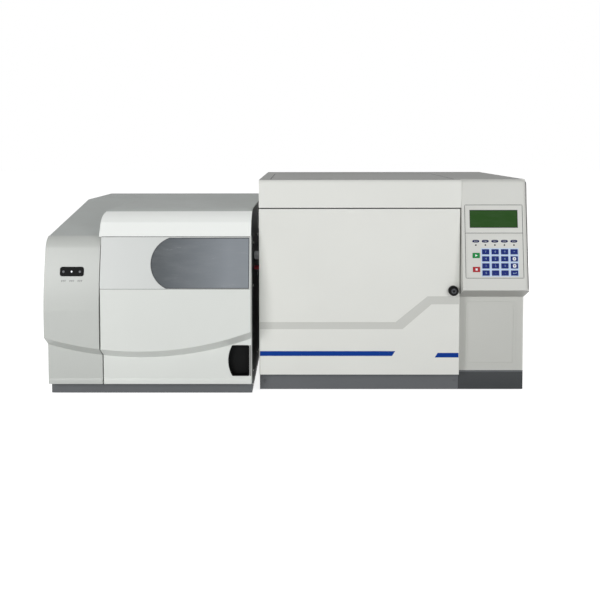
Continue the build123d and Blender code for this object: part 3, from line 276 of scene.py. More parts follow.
def coated(name, colour, roughness, grain=900.0, drift=0.03, dust=0.08, bump=0.12, depth=0.05, **constants):
    values = {"Colour": colour, "Grain Scale": grain, "Drift": drift, "Dust": dust, "Roughness": roughness}
    material(name, COAT, values, bump, depth, **constants)


def metal(name, colour, roughness, stretch, bloom=0.1, bump=0.08):
    values = {"Colour": colour, "Stretch": stretch, "Roughness": roughness, "Bloom": bloom}
    material(name, BRUSHED, values, bump, 0.04, Metallic=1.0)


def glossy(name, colour, roughness, marks, reflection_colour=None, fade=(0.0, 1.0), **constants):
    """Glass or polished plastic; it may change to a second colour between two places along X, which is a
    painted reflection.
    """
    values = {"Colour": colour, "Roughness": roughness, "Marks": marks, "Far Colour": reflection_colour or colour,
              "Fade From": fade[0], "Fade To": fade[1]}
    material(name, WIPES_AND_REFLECTION, values, 0.02, 0.05, **constants)


def fibrous(name, colour, scale, shade, bump, depth):
    values = {"Colour": colour, "Scale": scale, "Shade": shade}
    material(name, FIBRES, values, bump, depth, Roughness=0.95, Sheen_Weight=0.25)


SPRAYED, MOULDED, PRINTED = 620.0, 1100.0, 1500.0                # grain, in cells to a metre
# stretch of the scratches in a metal, by the way they run
ACROSS, UP_DOWN, DEPTHWISE = (8.0, 900.0, 900.0), (900.0, 900.0, 8.0), (900.0, 8.0, 900.0)
EVEN = (300.0, 300.0, 300.0)
coated("cabinet_paint", CABINET_WHITE, 0.42, SPRAYED, 0.035, 0.1, 0.16, 0.06)
coated("panel_shaded_paint", CABINET_PAINTED_SHADE, 0.45, SPRAYED, 0.03, 0.1, 0.16, 0.06)
coated("deck_shaded_paint", DECK_SHADED_GREY, 0.55, 520.0, 0.05, 0.18, 0.2, 0.07, Specular_IOR_Level=0.3)
coated("plinth_paint", PLINTH_GREY, 0.55, 480.0, 0.12, 0.2, 0.3, 0.09)
coated("chassis_paint", CHASSIS_BLACK, 0.55, 420.0, 0.1, 0.12, 0.4, 0.1)
coated("front_moulding", MOULDING_WHITE, 0.4, MOULDED, 0.03, 0.05, 0.1, 0.04)
coated("console_moulding", CONSOLE_WHITE, 0.42, MOULDED, 0.03, 0.06, 0.14, 0.04)
coated("fascia_shaded_moulding", FASCIA_SHADED_WHITE, 0.4, MOULDED, 0.03, 0.05, 0.1, 0.04)
coated("facet_shaded_moulding", FACET_SHADED_WHITE, 0.4, MOULDED, 0.03, 0.05, 0.1, 0.04)
coated("under_shaded_moulding", UNDER_SHADED_GREY, 0.45, MOULDED, 0.03, 0.0, 0.14, 0.04)
coated("lid_shaded_paint", LID_SHADED_GREY, 0.55, 520.0, 0.05, 0.14, 0.2, 0.07, Specular_IOR_Level=0.3)
# painted shade: a near-black grey for the base where it lies in the console's shadow
coated("plinth_shaded_paint", rgb(32, 36, 39), 0.55, 480.0, 0.12, 0.2, 0.3, 0.09)
coated("hood_lit_moulding", HOOD_LIT_WHITE, 0.38, MOULDED, 0.03, 0.04, 0.1, 0.04)
coated("grip_plastic", GRIP_BLACK, 0.6, 700.0, 0.2, 0.0, 0.5, 0.12, Specular_IOR_Level=0.12)
coated("speckled_trim", rgb(150, 150, 148), 0.5, 260.0, 0.6, 0.0, 0.8, 0.2)
coated("seam_shadow", rgb(44, 47, 52), 0.6, 900.0, 0.2, 0.0, 0.1, 0.03)
coated("key_surround", rgb(188, 208, 236), 0.4, PRINTED, 0.04, 0.0, 0.06, 0.02)
coated("ceramic_white", CERAMIC, 0.5, 420.0, 0.08, 0.0, 0.2, 0.04)
coated("foot_rubber", rgb(28, 28, 28), 0.85, 300.0, 0.2, 0.1, 0.5, 0.15)
coated("key_navy", KEY_NAVY, 0.5, PRINTED, 0.08, 0.0, 0.1, 0.03, Specular_IOR_Level=0.2)
coated("key_green", KEY_GREEN, 0.5, PRINTED, 0.08, 0.0, 0.1, 0.03, Specular_IOR_Level=0.2)
coated("key_red", KEY_RED, 0.5, PRINTED, 0.08, 0.0, 0.1, 0.03, Specular_IOR_Level=0.2)
coated("legend_ink", LEGEND_WHITE, 0.5, PRINTED, 0.04, 0.0, 0.05, 0.02)
coated("legend_pale", LEGEND_PALE, 0.5, PRINTED, 0.04, 0.0, 0.05, 0.02, Specular_IOR_Level=0.2)
coated("legend_grey", LEGEND_GREY, 0.5, PRINTED, 0.1, 0.0, 0.05, 0.02)
coated("label_navy", LABEL_NAVY, 0.5, PRINTED, 0.1, 0.0, 0.05, 0.02, Specular_IOR_Level=0.15)
coated("stripe_blue", PRINT_BLUE, 0.5, PRINTED, 0.05, 0.0, 0.05, 0.02, Specular_IOR_Level=0.1)
coated("stripe_grey", PRINT_GREY, 0.4, PRINTED, 0.04, 0.0, 0.05, 0.02)
coated("board_mask", rgb(22, 96, 58), 0.35, 260.0, 0.4, 0.05, 0.2, 0.05)
coated("sheath_rubber", SHEATH_RED, 0.6, 500.0, 0.2, 0.1, 0.4, 0.1)
coated("column_film", rgb(132, 66, 22), 0.25, 300.0, 0.4, 0.0, 0.2, 0.05)
# painted reflection: the smoked pane runs from dark at the left to a lighter grey at the right
glossy("window_smoke", rgb(58, 64, 68), 0.2, 0.12, rgb(132, 138, 144), (-0.3, -0.13),
       Coat_Weight=0.15, Coat_Roughness=0.05, Specular_IOR_Level=0.35)
glossy("display_glass", LCD_GREEN, 0.55, 0.06, Specular_IOR_Level=0.12)
glossy("lamp_white", rgb(240, 244, 250), 0.2, 0.05, Emission_Color=(0.9, 0.95, 1.0, 1.0),
       Emission_Strength=0.9)
glossy("lamp_grey", rgb(92, 94, 97), 0.4, 0.1, Coat_Weight=0.15)
metal("polished_steel", rgb(214, 214, 212), 0.2, EVEN, 0.05)
metal("brass", rgb(206, 168, 92), 0.28, EVEN, 0.1)
metal("oven_steel", rgb(196, 194, 188), 0.3, ACROSS)
metal("door_steel", rgb(200, 199, 194), 0.32, UP_DOWN)
metal("turned_steel", rgb(186, 186, 184), 0.26, DEPTHWISE)
metal("cast_aluminium", rgb(200, 202, 204), 0.42, (240.0, 240.0, 240.0), 0.1, 0.15)
metal("zinc_plate", rgb(138, 141, 144), 0.5, (60.0, 60.0, 60.0), 0.35, 0.1)
metal("heater_alloy", rgb(120, 104, 92), 0.45, (40.0, 40.0, 40.0), 0.4, 0.2)
fibrous("wool_board", rgb(222, 216, 196), 220.0, 0.4, 0.6, 0.6)
fibrous("glass_rope", rgb(226, 222, 208), 420.0, 0.5, 0.8, 0.7)


def spread(table):
    """A table of words under each key, turned round into each word's key."""
    return {word: key for key, words in table.items() for word in words.split()}


# finish -> nodes that wear it; the number keys are key_navy
node_finish = spread({
    "plinth_paint": "gc_base_tray ms_base_tray",
    "foot_rubber": "rubber_feet",
    "cabinet_paint": "gc_left_panel gc_right_panel gc_rear_panel gc_top_cover oven_door",
    "oven_steel": "oven_front_frame oven_liner fan_guard vent_flap",
    # painted shade: the lower front panel wears a darkened copy of the cabinet white
    "panel_shaded_paint": "lower_front_panel",
    "wool_board": "oven_insulation",
    "turned_steel": "oven_fan column_hanger injector hinge_pins turbo_pump quadrupole",
    "cast_aluminium": "fan_motor gas_manifold vacuum_chamber ms_electronics transfer_line",
    "heater_alloy": "heater_coil",
    "column_film": "column_coil",
    "door_steel": "door_liner",
    "glass_rope": "door_gasket",
    "grip_plastic": "latch_knob indicator_bezel pull_cup",
    # painted shade: the lid wears the greyed copy of the cabinet white
    "lid_shaded_paint": "top_lid",
    "console_moulding": "console_housing keypad_plate",
    "display_glass": "lcd_display",
    "board_mask": "circuit_boards",
    "deck_shaded_paint": "ms_casing",
    "chassis_paint": "ms_chassis_cover",
    "fascia_shaded_moulding": "ms_front_fascia",
    "front_moulding": "ms_door",
    "window_smoke": "door_window",
    "key_green": "key_start",
    "key_red": "key_stop",
})


def corners(name):
    """Lowest and highest corner of a node, in millimetres."""
    low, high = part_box(name)
    return Vector(low) / MM, Vector(high) / MM


def dress_nodes():
    """Give each node of the frame its finish."""
    for name, item in nodes.items():
        item.data.materials.clear()
        item.data.materials.append(finishes[node_finish.get(name, "key_navy")])


def repaint(node, finish, chosen):
    """A second finish on those faces of a node that 'chosen' picks by middle (mm) and normal."""
    data = nodes[node].data
    data.materials.append(finishes[finish])
    index = len(data.materials) - 1
    for face in data.polygons:
        if chosen(face.center / MM, face.normal):
            face.material_index = index


# ---------------------------------------------------------------- places on the frame
ms_low, _ = corners("ms_base_tray")
gc_low, gc_high = corners("gc_base_tray")
door_low, door_high = corners("oven_door")
console_low, _ = corners("console_housing")
top_z = corners("gc_top_cover")[1].z
sheath_top = corners("transfer_line")[0].z + 12.0
FACE_SLOPE = (0.0, 30.0, 196.0)         # up the console's face
FACET_SLOPE = (0.0, 23.0, 113.0)        # up the detector door's upper facet
CONSOLE_LIP = 24.0                      # the face starts this far above the console's base
FACE_LEAN = 0.9885                      # rise over length of the console's face
KEY_PITCH, ROW_PITCH = 21.0, 15.4       # across and up the keypad
KEY_TOP = 1.8                           # the caps stand this proud of the face
OVEN_X, OVEN_Z = 149.0, 230.0           # the fan's axis
CHAMBER_X = -204.0                      # the ion source's axis, across the detector
BOARD_X = 518.4                         # inner face of the main board
FRONTWARD, REARWARD, INWARD_X = (0, -1, 0), (0, 1, 0), (-1, 0, 0)


class Piece:
    """One mesh drawn in millimetres on a plane: x across it, y up it, z out of it."""

    def __init__(self, origin, across=(1, 0, 0), up=(0, 0, 1)):
        across, up = Vector(across).normalized(), Vector(up).normalized()
        self.plane = Matrix((across, up, across.cross(up))).transposed().to_4x4()
        self.plane.translation = Vector(origin)
        self.mesh = bmesh.new()

    def raise_faces(self, faces, rise, edge=0.0):
        grown = bmesh.ops.extrude_face_region(self.mesh, geom=faces)["geom"]
        tops = [part for part in grown if isinstance(part, bmesh.types.BMVert)]
        bmesh.ops.translate(self.mesh, verts=tops, vec=(0, 0, rise))
        if edge:
            lids = [part for part in grown if isinstance(part, bmesh.types.BMFace)]
            rims = list({line for lid in lids for line in lid.edges})
            bmesh.ops.bevel(self.mesh, geom=rims, offset=edge, segments=2, profile=0.6, affect="EDGES")

    def plate(self, points, low, high, edge=0.0):
        """A flat shape between two heights, with its upper edge eased."""
        ring = [self.mesh.verts.new((x, y, low)) for x, y in points]
        self.raise_faces([self.mesh.faces.new(ring)], high - low, edge)
        return self

    def ribbon(self, inner, outer, low, high, closed=False):
        """A band between two lines of as many points."""
        pairs = [(self.mesh.verts.new((*a, low)), self.mesh.verts.new((*b, low))) for a, b in zip(inner, outer)]
        if closed:
            pairs.append(pairs[0])
        faces = [self.mesh.faces.new((a[0], b[0], b[1], a[1])) for a, b in zip(pairs, pairs[1:])]
        self.raise_faces(faces, high - low)
        return self

    def lattice(self, columns, rows, hole, margin, low, high):
        """A film with openings in columns and rows."""
        def cuts(middles, half):
            line = [middles[0] - half - margin]
            for middle in middles:
                line += [middle - half, middle + half]
            return line + [middles[-1] + half + margin]

        across, along = cuts(columns, hole[0] / 2), cuts(rows, hole[1] / 2)
        spots = [[self.mesh.verts.new((x, y, low)) for y in along] for x in across]
        faces = []
        for i in range(len(across) - 1):
            for j in range(len(along) - 1):
                if i % 2 == 0 or j % 2 == 0:
                    faces.append(self.mesh.faces.new((spots[i][j], spots[i + 1][j],
                                                      spots[i + 1][j + 1], spots[i][j + 1])))
        self.raise_faces(faces, high - low)
        return self

    def turned(self, x, y, profile, sides=24):
        """Pairs of radius and height, turned about a line out of the plane."""
        rings = []
        for radius, height in profile:
            count = sides if radius else 1
            rings.append([self.mesh.verts.new((x + radius * math.cos(2 * math.pi * i / count),
                                               y + radius * math.sin(2 * math.pi * i / count), height))
                          for i in range(count)])
        for low, high in zip(rings, rings[1:]):
            for i in range(sides):
                j = (i + 1) % sides
                loop = dict.fromkeys((low[i % len(low)], low[j % len(low)],
                                      high[j % len(high)], high[i % len(high)]))
                if len(loop) > 2:
                    self.mesh.faces.new(tuple(loop))
        return self

    def screw(self, x, y, radius=3.0):
        """A domed head with a socket."""
        r = radius
        return self.turned(x, y, [(0, -0.3), (r, -0.3), (r, 0.3 * r), (0.86 * r, 0.5 * r), (0.5 * r, 0.6 * r),
                                  (0.42 * r, 0.56 * r), (0.42 * r, 0.2 * r), (0, 0.2 * r)], 18)

    def digits(self, text, x, y, size, low, high):
        """Figures centred on a point."""
        line = bpy.data.curves.new("figures", "FONT")
        line.body, line.size, line.align_x, line.align_y = text, size, "CENTER", "CENTER"
        line.extrude, line.resolution_u = (high - low) / 2, 3
        holder = bpy.data.objects.new("figures", line)
        cut = bpy.data.meshes.new_from_object(holder)
        cut.transform(Matrix.Translation((x, y, (low + high) / 2)))
        self.mesh.from_mesh(cut)
        for block, unused in ((bpy.data.objects, holder), (bpy.data.curves, line), (bpy.data.meshes, cut)):
            block.remove(unused)
        return self

    def done(self, name, body, finish, crease=35.0):
        """Hand the piece over to its body, in metres, smooth where it turns less than the crease."""
        bmesh.ops.recalc_face_normals(self.mesh, faces=self.mesh.faces[:])
        self.mesh.transform(Matrix.Scale(MM, 4) @ self.plane)
        data = bpy.data.meshes.new(name)
        self.mesh.to_mesh(data)
        self.mesh.free()
        data.shade_smooth()
        data.set_sharp_from_angle(angle=math.radians(crease))
        data.materials.append(finishes[finish])
        item = bpy.data.objects.new(name, data)
        bpy.context.scene.collection.objects.link(item)
        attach(item, body)


def landing(node, start, direction, up=(0, 0, 1)):
    """The plane on a node's surface where a line from 'start' meets it."""
    met, place, normal, _ = nodes[node].ray_cast(Vector(start) * MM, Vector(direction))
    if not met:
        raise ValueError(f"the line from {start} misses {node}")
    across = Vector(up).cross(normal)
    return {"origin": place / MM, "across": across, "up": normal.cross(across)}


def pill(x, y, width, height, count=28):
    """A long oval with full ends."""
    points = []
    for i in range(count):
        c, s = math.cos(2 * math.pi * i / count), math.sin(2 * math.pi * i / count)
        points.append((x + width / 2 * math.copysign(abs(c) ** 0.65, c),
                       y + height / 2 * math.copysign(abs(s) ** 0.8, s)))
    return points


def frame_line(x0, y0, x1, y1, inset=0.0):
    """The four corners of an upright rectangle, drawn in by 'inset'."""
    x0, y0, x1, y1 = x0 + inset, y0 + inset, x1 - inset, y1 - inset
    return [(x0, y0), (x1, y0), (x1, y1), (x0, y1)]


def oblong(x, y, width, height):
    """A rectangle by its middle and its sides."""
    return frame_line(x - width / 2, y - height / 2, x + width / 2, y + height / 2)


# ---------------------------------------------------------------- the oven door and its latch
def print_door():
    """Blue bars and a stepped grey band on the oven door."""
    face = (door_low.x, door_low.y, 0.0)
    right = door_high.x - door_low.x - 1.5
    Piece(face).plate([(1.5, 87), (299, 87), (306, 98), (1.5, 98)], 0, SKIN).done(
        "door_bar_long", "oven_door", "stripe_blue")
    Piece(face).plate([(395, 83.5), (right, 83.5), (right, 94), (401.6, 94)], 0, SKIN).done(
        "door_bar_short", "oven_door", "stripe_blue")
    band = [(1.5, 148), (322.4, 148), (387, 204.3), (right, 204.3), (right, 222.4), (377.9, 222.4),
            (306.6, 164), (1.5, 164)]
    Piece(face).plate(band, 0, SKIN).done("door_band", "oven_door", "stripe_grey")


def line_seams():
    """Painted shade: dark strips in the open joints above the door and round the lid."""
    width = door_high.x - door_low.x
    # painted shade: a black strip sunk in the gap above the door, where the joint lies in shadow
    Piece((door_low.x, door_low.y + 1.0, door_high.z)).plate(oblong(width / 2, 1.7, width, 2.2), -6.0, 0).done(
        "door_head_gap_shade", "cabinet", "grip_plastic")
    low, high = corners("top_lid")
    inner, outer = (frame_line(low.x, low.y, high.x, high.y, -gap) for gap in (0.4, 2.0))
    Piece((0, 0, top_z), up=(0, 1, 0)).ribbon(inner, outer, -0.4, 0.15, True).done(
        "lid_gap_shade", "cabinet", "seam_shadow")


def face_knob():
    """A ring, a dark insert and three small studs on the latch knob."""
    low, high = corners("latch_knob")
    middle = ((low.x + high.x) / 2, low.y, high.z - 11.0)
    ring = [(9.0, -0.5), (9.0, 0.3), (8.4, 0.7), (7.6, 0.7), (7.0, 0.3), (7.0, -0.5), (9.0, -0.5)]
    Piece(middle).turned(0, 0, ring, 36).done("knob_ring", "latch", "grip_plastic")
    insert = [(0, -0.4), (6.2, -0.4), (6.2, 0.1), (5.6, 0.5), (2.6, 0.5), (2.2, -0.3), (0, -0.3)]
    Piece(middle).turned(0, 0, insert, 36).done("knob_insert", "latch", "seam_shadow")
    studs, stud = Piece(middle), [(0, 0.3), (1.1, 0.3), (0.8, 0.8), (0, 0.9)]
    for i in range(3):
        turn = math.radians(90 + 120 * i)
        studs.turned(4.2 * math.cos(turn), 4.2 * math.sin(turn), stud, 14)
    studs.done("knob_studs", "latch", "lamp_grey")


# ---------------------------------------------------------------- console
def up_face(drop):
    """Where on the console's face a point lies that is 'drop' under the top of the cabinet."""
    return (top_z - drop - console_low.z - CONSOLE_LIP) / FACE_LEAN


KEY_COLUMNS = [51.0 + KEY_PITCH * i for i in range(4)]
KEY_ROWS = [up_face(205.2 - ROW_PITCH * i) for i in range(4)]
LEGENDS = ("7", "8", "9", "+", "4", "5", "6", "up", "1", "2", "3", "down", "0", ".", "-", "enter")


def on_console():
    """A piece drawn on the console's face, from its lower left corner."""
    return Piece((console_low.x, console_low.y, console_low.z + CONSOLE_LIP), up=FACE_SLOPE)


def print_console():
    """Five oval labels, each with a mark and a signal dot, and the film round the number keys."""
    for i in range(5):
        u = 29.7 + 21.1 * i
        on_console().plate(pill(u, 108.4, 15.5, 6.2), 0, 2 * SKIN).done(
            f"label_{i + 1}", "cabinet", "label_navy")
        marks = on_console()
        for dx in (-2.6, 0, 2.6):
            marks.plate(oblong(u + dx, 108.9, 1.7, 0.5), 2 * SKIN, 3 * SKIN)
            marks.plate(oblong(u + dx, 107.8, 1.1, 0.5), 2 * SKIN, 3 * SKIN)
        marks.done(f"label_mark_{i + 1}", "cabinet", "legend_ink")
        on_console().turned(u, 99.9, [(0, -0.2), (1.8, -0.2), (1.8, 0.1), (1.0, 0.4), (0, 0.5)], 14).done(
            f"signal_dot_{i + 1}", "cabinet", "grip_plastic")
    inner, outer = (frame_line(6.0, up_face(217.0), 135.0, up_face(55.5), inset) for inset in (1.1, 0.1))
    lines = on_console().ribbon(inner, outer, -0.55, -0.15, True)
    lines.plate(oblong(70.5, up_face(118.0), 126.8, 1.0), -0.55, -0.15).done(
        "console_lines", "cabinet", "seam_shadow")
    on_console().lattice(KEY_COLUMNS, KEY_ROWS, (16.1, 11.6), 2.0, 0, SKIN).done(
        "key_surround", "cabinet", "key_surround")


def mark_keys():
    """Figures and signs on the key caps."""
    skin = (KEY_TOP, KEY_TOP + SKIN)
    for i, sign in enumerate(LEGENDS):
        name = f"key_{i + 1:02d}"
        u, v = KEY_COLUMNS[i % 4], KEY_ROWS[3 - i // 4]
        if sign in ("up", "down"):
            way = 1 if sign == "up" else -1
            on_console().plate(pill(u, v, 7.6, 7.6), *skin).done(f"{name}_spot", name, "legend_ink")
            arrow = [(u - 2.2, v - way * 1.2), (u + 2.2, v - way * 1.2), (u, v + way * 1.8)]
            on_console().plate(arrow, skin[1], skin[1] + SKIN).done(f"{name}_arrow", name, "label_navy")
        elif sign == "enter":
            hook = [(u - 4, v - 0.6), (u - 2, v - 2.4), (u - 2, v - 1.1), (u + 3.6, v - 1.1),
                    (u + 3.6, v + 2.2), (u + 2.6, v + 2.2), (u + 2.6, v - 0.1), (u - 2, v - 0.1),
                    (u - 2, v + 1.2)]
            on_console().plate(hook, *skin).done(f"{name}_hook", name, "legend_pale")
        else:
            on_console().digits(sign, u, v, 6.4, *skin).done(f"{name}_figure", name, "legend_pale")
    u = KEY_COLUMNS[0] - KEY_PITCH
    start_v, stop_v = up_face(167.0), up_face(197.5)
    on_console().plate([(u - 2.4, start_v - 2.6), (u + 3.2, start_v), (u - 2.4, start_v + 2.6)], *skin).done(
        "key_start_sign", "key_start", "legend_ink")
    on_console().plate(oblong(u, stop_v, 4.6, 4.6), *skin).done("key_stop_sign", "key_stop", "legend_ink")


def fit_display():
    """Dark rim round the display."""
    foot = up_face(106.5)
    inner, outer = (frame_line(17.0, foot, 124.0, foot + 40.0, inset) for inset in (1.0, 0.1))
    on_console().ribbon(inner, outer, -1.1, -0.7, True).done("display_rim", "cabinet", "seam_shadow")


# ---------------------------------------------------------------- detector front
def fit_indicator():
    """Lamp lenses in the bar and the marks under it."""
    for i in (-1, 0, 1):
        x = ms_low.x + 61.0 + 18.0 * i
        spot = landing("indicator_bezel", (x, -500, 285.7), REARWARD)
        lens = [(0, -0.3), (2.7, -0.3), (2.7, 0.2), (2.0, 0.8), (1.0, 1.1), (0, 1.2)]
        Piece(**spot).turned(0, 0, lens, 20).done(f"lamp_lens_{i + 2}", "cabinet", "lamp_grey")
        if i == 0:
            Piece(**spot).turned(0, 0, [(0, 1.0), (1.5, 1.0), (1.1, 1.4), (0, 1.5)], 16).done(
                "lamp_core", "cabinet", "lamp_white")
        under = Piece(**landing("ms_front_fascia", (x, -500, 265.5), REARWARD))
        for dx, width in ((-3.6, 3.0), (0.0, 2.8), (3.6, 3.0)):
            under.plate(oblong(dx, 1.4, width, 1.1), 0, SKIN)
            under.plate(oblong(dx - 0.3, -1.2, width * 0.7, 1.1), 0, SKIN)
        under.done(f"lamp_caption_{i + 2}", "cabinet", "legend_grey")


def on_facet():
    """A piece drawn on the sloping facet of the detector's front."""
    return Piece((ms_low.x, corners("ms_door")[0].y, 248.0), up=FACET_SLOPE)


def seal_window():
    """Dark edge round the smoked pane, a painted shadow along its top and the line at the foot of the facet."""
    def edge(inset):
        radius, middle = 60.0 - inset, (293.0, 56.0)
        low, high = 1.5 + inset, 112.8 - inset
        start = math.pi + math.asin((middle[1] - low) / radius)
        stop = math.pi - math.asin((high - middle[1]) / radius)
        line = [(449.0 - inset, low)]
        for i in range(41):
            turn = start + (stop - start) * i / 40
            line.append((middle[0] + radius * math.cos(turn), middle[1] + radius * math.sin(turn)))
        return line + [(449.0 - inset, high)]

    on_facet().ribbon(edge(1.5), edge(0.1), -0.7, -0.1, True).done("window_edge", "ms_door", "seam_shadow")
    # painted shadow: a dark strip along the top of the pane, under the ledge above it
    on_facet().plate(oblong(374.5, 111.9, 148.0, 1.8), -0.2, 0.1).done("window_top_shadow", "ms_door", "seam_shadow")
    on_facet().plate(oblong(287.0, 0.5, 327.0, 0.9), 0, SKIN).done("facet_line", "ms_door", "legend_grey")


def trim_detector():
    """Foot strips under the two mouldings, painted shade in the gap under the hood and the strip beside the
    finger cup.
    """
    face_y = ms_low.y - 24.0
    section = [(face_y - 0.9, 31.0), (face_y - 0.9, 41.0), (face_y + 0.2, 43.5), (face_y + 0.4, 31.0)]
    for name, body, finish, x0, x1 in (("foot_strip_left", "cabinet", "fascia_shaded_moulding", 1.0, 120.0),
                                       ("foot_strip_right", "ms_door", "front_moulding", 124.0, 451.0)):
        Piece((ms_low.x + x0, 0, 0), across=(0, 1, 0)).plate(section, 0, x1 - x0).done(name, body, finish)
    # painted shade: a dark grey strip in the gap under the hood
    Piece((ms_low.x, ms_low.y - 31.0, 0)).plate(oblong(287.0, 360.9, 326.0, 0.9), -0.3, 0.3).done(
        "hood_gap_shade", "cabinet", "legend_grey")
    Piece((ms_low.x, face_y, 0)).plate(oblong(449.4, 83.5, 3.6, 69.0), -0.2, 0.5, 0.3).done(
        "grip_strip", "ms_door", "speckled_trim")


# ---------------------------------------------------------------- fasteners, louvres and rear fittings
def fasten(name, node, direction, spots, radius=3.0, finish="polished_steel", body="cabinet", up=(0, 0, 1)):
    """Screws on a node, each where a line from a spot outside it lands."""
    heads = None
    for start in spots:
        piece = Piece(**landing(node, start, direction, up)).screw(0, 0, radius)
        piece.mesh.transform(piece.plane)
        if heads is None:
            heads = Piece((0, 0, 0), up=(0, 1, 0))
        loose = bpy.data.meshes.new("loose")
        piece.mesh.to_mesh(loose)
        heads.mesh.from_mesh(loose)
        bpy.data.meshes.remove(loose)
        piece.mesh.free()
    heads.done(name, body, finish)


def grid(first, second):
    """Each value of the one list with each value of the other."""
    return [(a, b) for a in first for b in second]


def screw_panels():
    """Screws round the panels' edges."""
    right = [(0, y, z) for y, z in grid((-240.5, -60.0, 130.0, 310.0), (42.0, 239.5, 338.0))]
    fasten("screws_detector_side", "ms_chassis_cover", INWARD_X, right, 2.6)
    foot = [(0, y, 16.0) for y in (-262.0, -125.5, 20.0, 290.0)]
    fasten("screws_detector_base", "ms_base_tray", INWARD_X, foot, 2.2)
    back = [(x, 400, z) for x, z in grid((-520.0, -400.0, -300.0, -97.0), (36.0, 380.0))]
    fasten("screws_detector_rear", "ms_chassis_cover", FRONTWARD, back, 2.8)
    left = [(-600, y, 40.0) for y in (-250.0, -60.0, 130.0, 300.0)]
    fasten("screws_detector_left", "ms_casing", (1, 0, 0), left, 2.6)
    rear = [(x, 300, z) for x, z in grid((-54.0, 120.0, 350.0, 522.0), (58.0, 470.0))]
    fasten("screws_oven_rear", "gc_rear_panel", FRONTWARD, rear, 2.8)
    side = [(600, y, z) for y, z in grid((-250.0, -13.5, 224.0), (60.0, 468.0))]
    fasten("screws_right_panel", "gc_right_panel", INWARD_X, side, 2.8)
    near = [(-75, y, z) for y, z in grid((-250.0, -13.5, 224.0), (60.0, 468.0))]
    fasten("screws_left_panel", "gc_left_panel", (1, 0, 0), near, 2.8)
    fasten("screws_plinth", "gc_base_tray", REARWARD, [(-54.0, -400, 24.0), (378.0, -400, 24.0)], 2.6,
           "plinth_paint")
    bulkhead = [(x, -320, z) for x, z in grid((-398.0, -250.0, -96.0), (60.0, 190.0, 352.0))]
    fasten("screws_bulkhead", "ms_chassis_cover", REARWARD, bulkhead, 2.8)


def press_louvres():
    """Hoods over the two rows of slots in the right panel."""
    section = [(3.4, 0), (3.4, 0.5), (1.6, 3.0), (-2.2, 3.6), (-2.4, 3.0), (1.0, 2.4), (2.6, 0)]
    hoods = Piece((gc_high.x, 0, 0), across=(0, 0, 1), up=(1, 0, 0))
    for middle in (gc_low.y + 180.0, gc_low.y + 320.0):
        for i in range(7):
            z = top_z * 0.62 + (i - 3) * 12.0
            hoods.plate([(z + a, b) for a, b in section], middle - 47.0, middle + 47.0)
    hoods.done("side_louvres", "cabinet", "cabinet_paint")


def on_rear(x, y, z):
    """A piece that faces the rear, seen from behind."""
    return Piece((x, y, z), across=(-1, 0, 0))


def fit_rear():
    """Gauze behind the vents, bare plates, inlet numbers and collars, and the mains inlet's details."""
    for name, x, y, z, width, height in (("gauze_oven_rear", gc_low.x + 132.0, 233.6, 164.6, 118.0, 84.0),
                                         ("gauze_detector_rear", ms_low.x + 117.5, 322.6, 150.5, 138.0, 108.0)):
        sheet = on_rear(x, y, z).plate(oblong(0, 0, width, height), -0.8, 0)
        for i in range(int(width // 6)):
            across = -width / 2 + 3 + 6 * i
            sheet.plate(oblong(across, 0, 0.8, height - 4), 0, 0.5)
        sheet.done(name, "cabinet", "seam_shadow")
    for name, x, y, z in (("plate_oven_rear", 330.0, gc_high.y, 150.0),
                          ("plate_detector_rear", -180.0, 325.5, 240.0)):
        on_rear(x, y, z).plate(oblong(0, 0, 92.0, 54.0), -0.1, 0.8, 0.3).done(name, "cabinet", "zinc_plate")
        rivets = on_rear(x, y, z)
        for u, v in grid((-41.0, 41.0), (-22.0, 22.0)):
            rivets.turned(u, v, [(0, 0.6), (2.2, 0.6), (1.8, 1.5), (0.8, 1.9), (0, 2.0)], 14)
        rivets.done(f"{name}_rivets", "cabinet", "polished_steel")
    for i in (-1, 0, 1):
        x = gc_low.x + 520.0 + 24.0 * i
        on_rear(x, gc_high.y, 396.0).digits(str(2 - i), 0, 0, 8.0, 0, SKIN).done(
            f"inlet_number_{2 - i}", "cabinet", "legend_grey")
        collar = [(3.2, 7.0), (6.2, 7.0), (6.2, 8.2), (5.4, 9.0), (3.2, 9.0)]
        on_rear(x, gc_high.y, 380.0).turned(0, 0, collar).done(f"inlet_collar_{2 - i}", "cabinet", "brass")
    inlet = on_rear(gc_low.x + 560.0, gc_high.y + 2.5, 80.0)
    inlet.ribbon(oblong(0, 0, 26, 18), oblong(0, 0, 30, 22), 0, 1.0, True)
    inlet.done("mains_inlet_rim", "cabinet", "grip_plastic")
    fasten("screws_mains_inlet", "circuit_boards", FRONTWARD, [(x, 300, 80.0) for x in (470.5, 517.5)], 2.4)
    # heads round the duct that the flap closes
    ring = [(x, 300, z) for x, z in grid((189.0, 301.0), (314.0, 364.0))]
    fasten("screws_vent_duct", "gc_rear_panel", FRONTWARD, ring, 2.2)


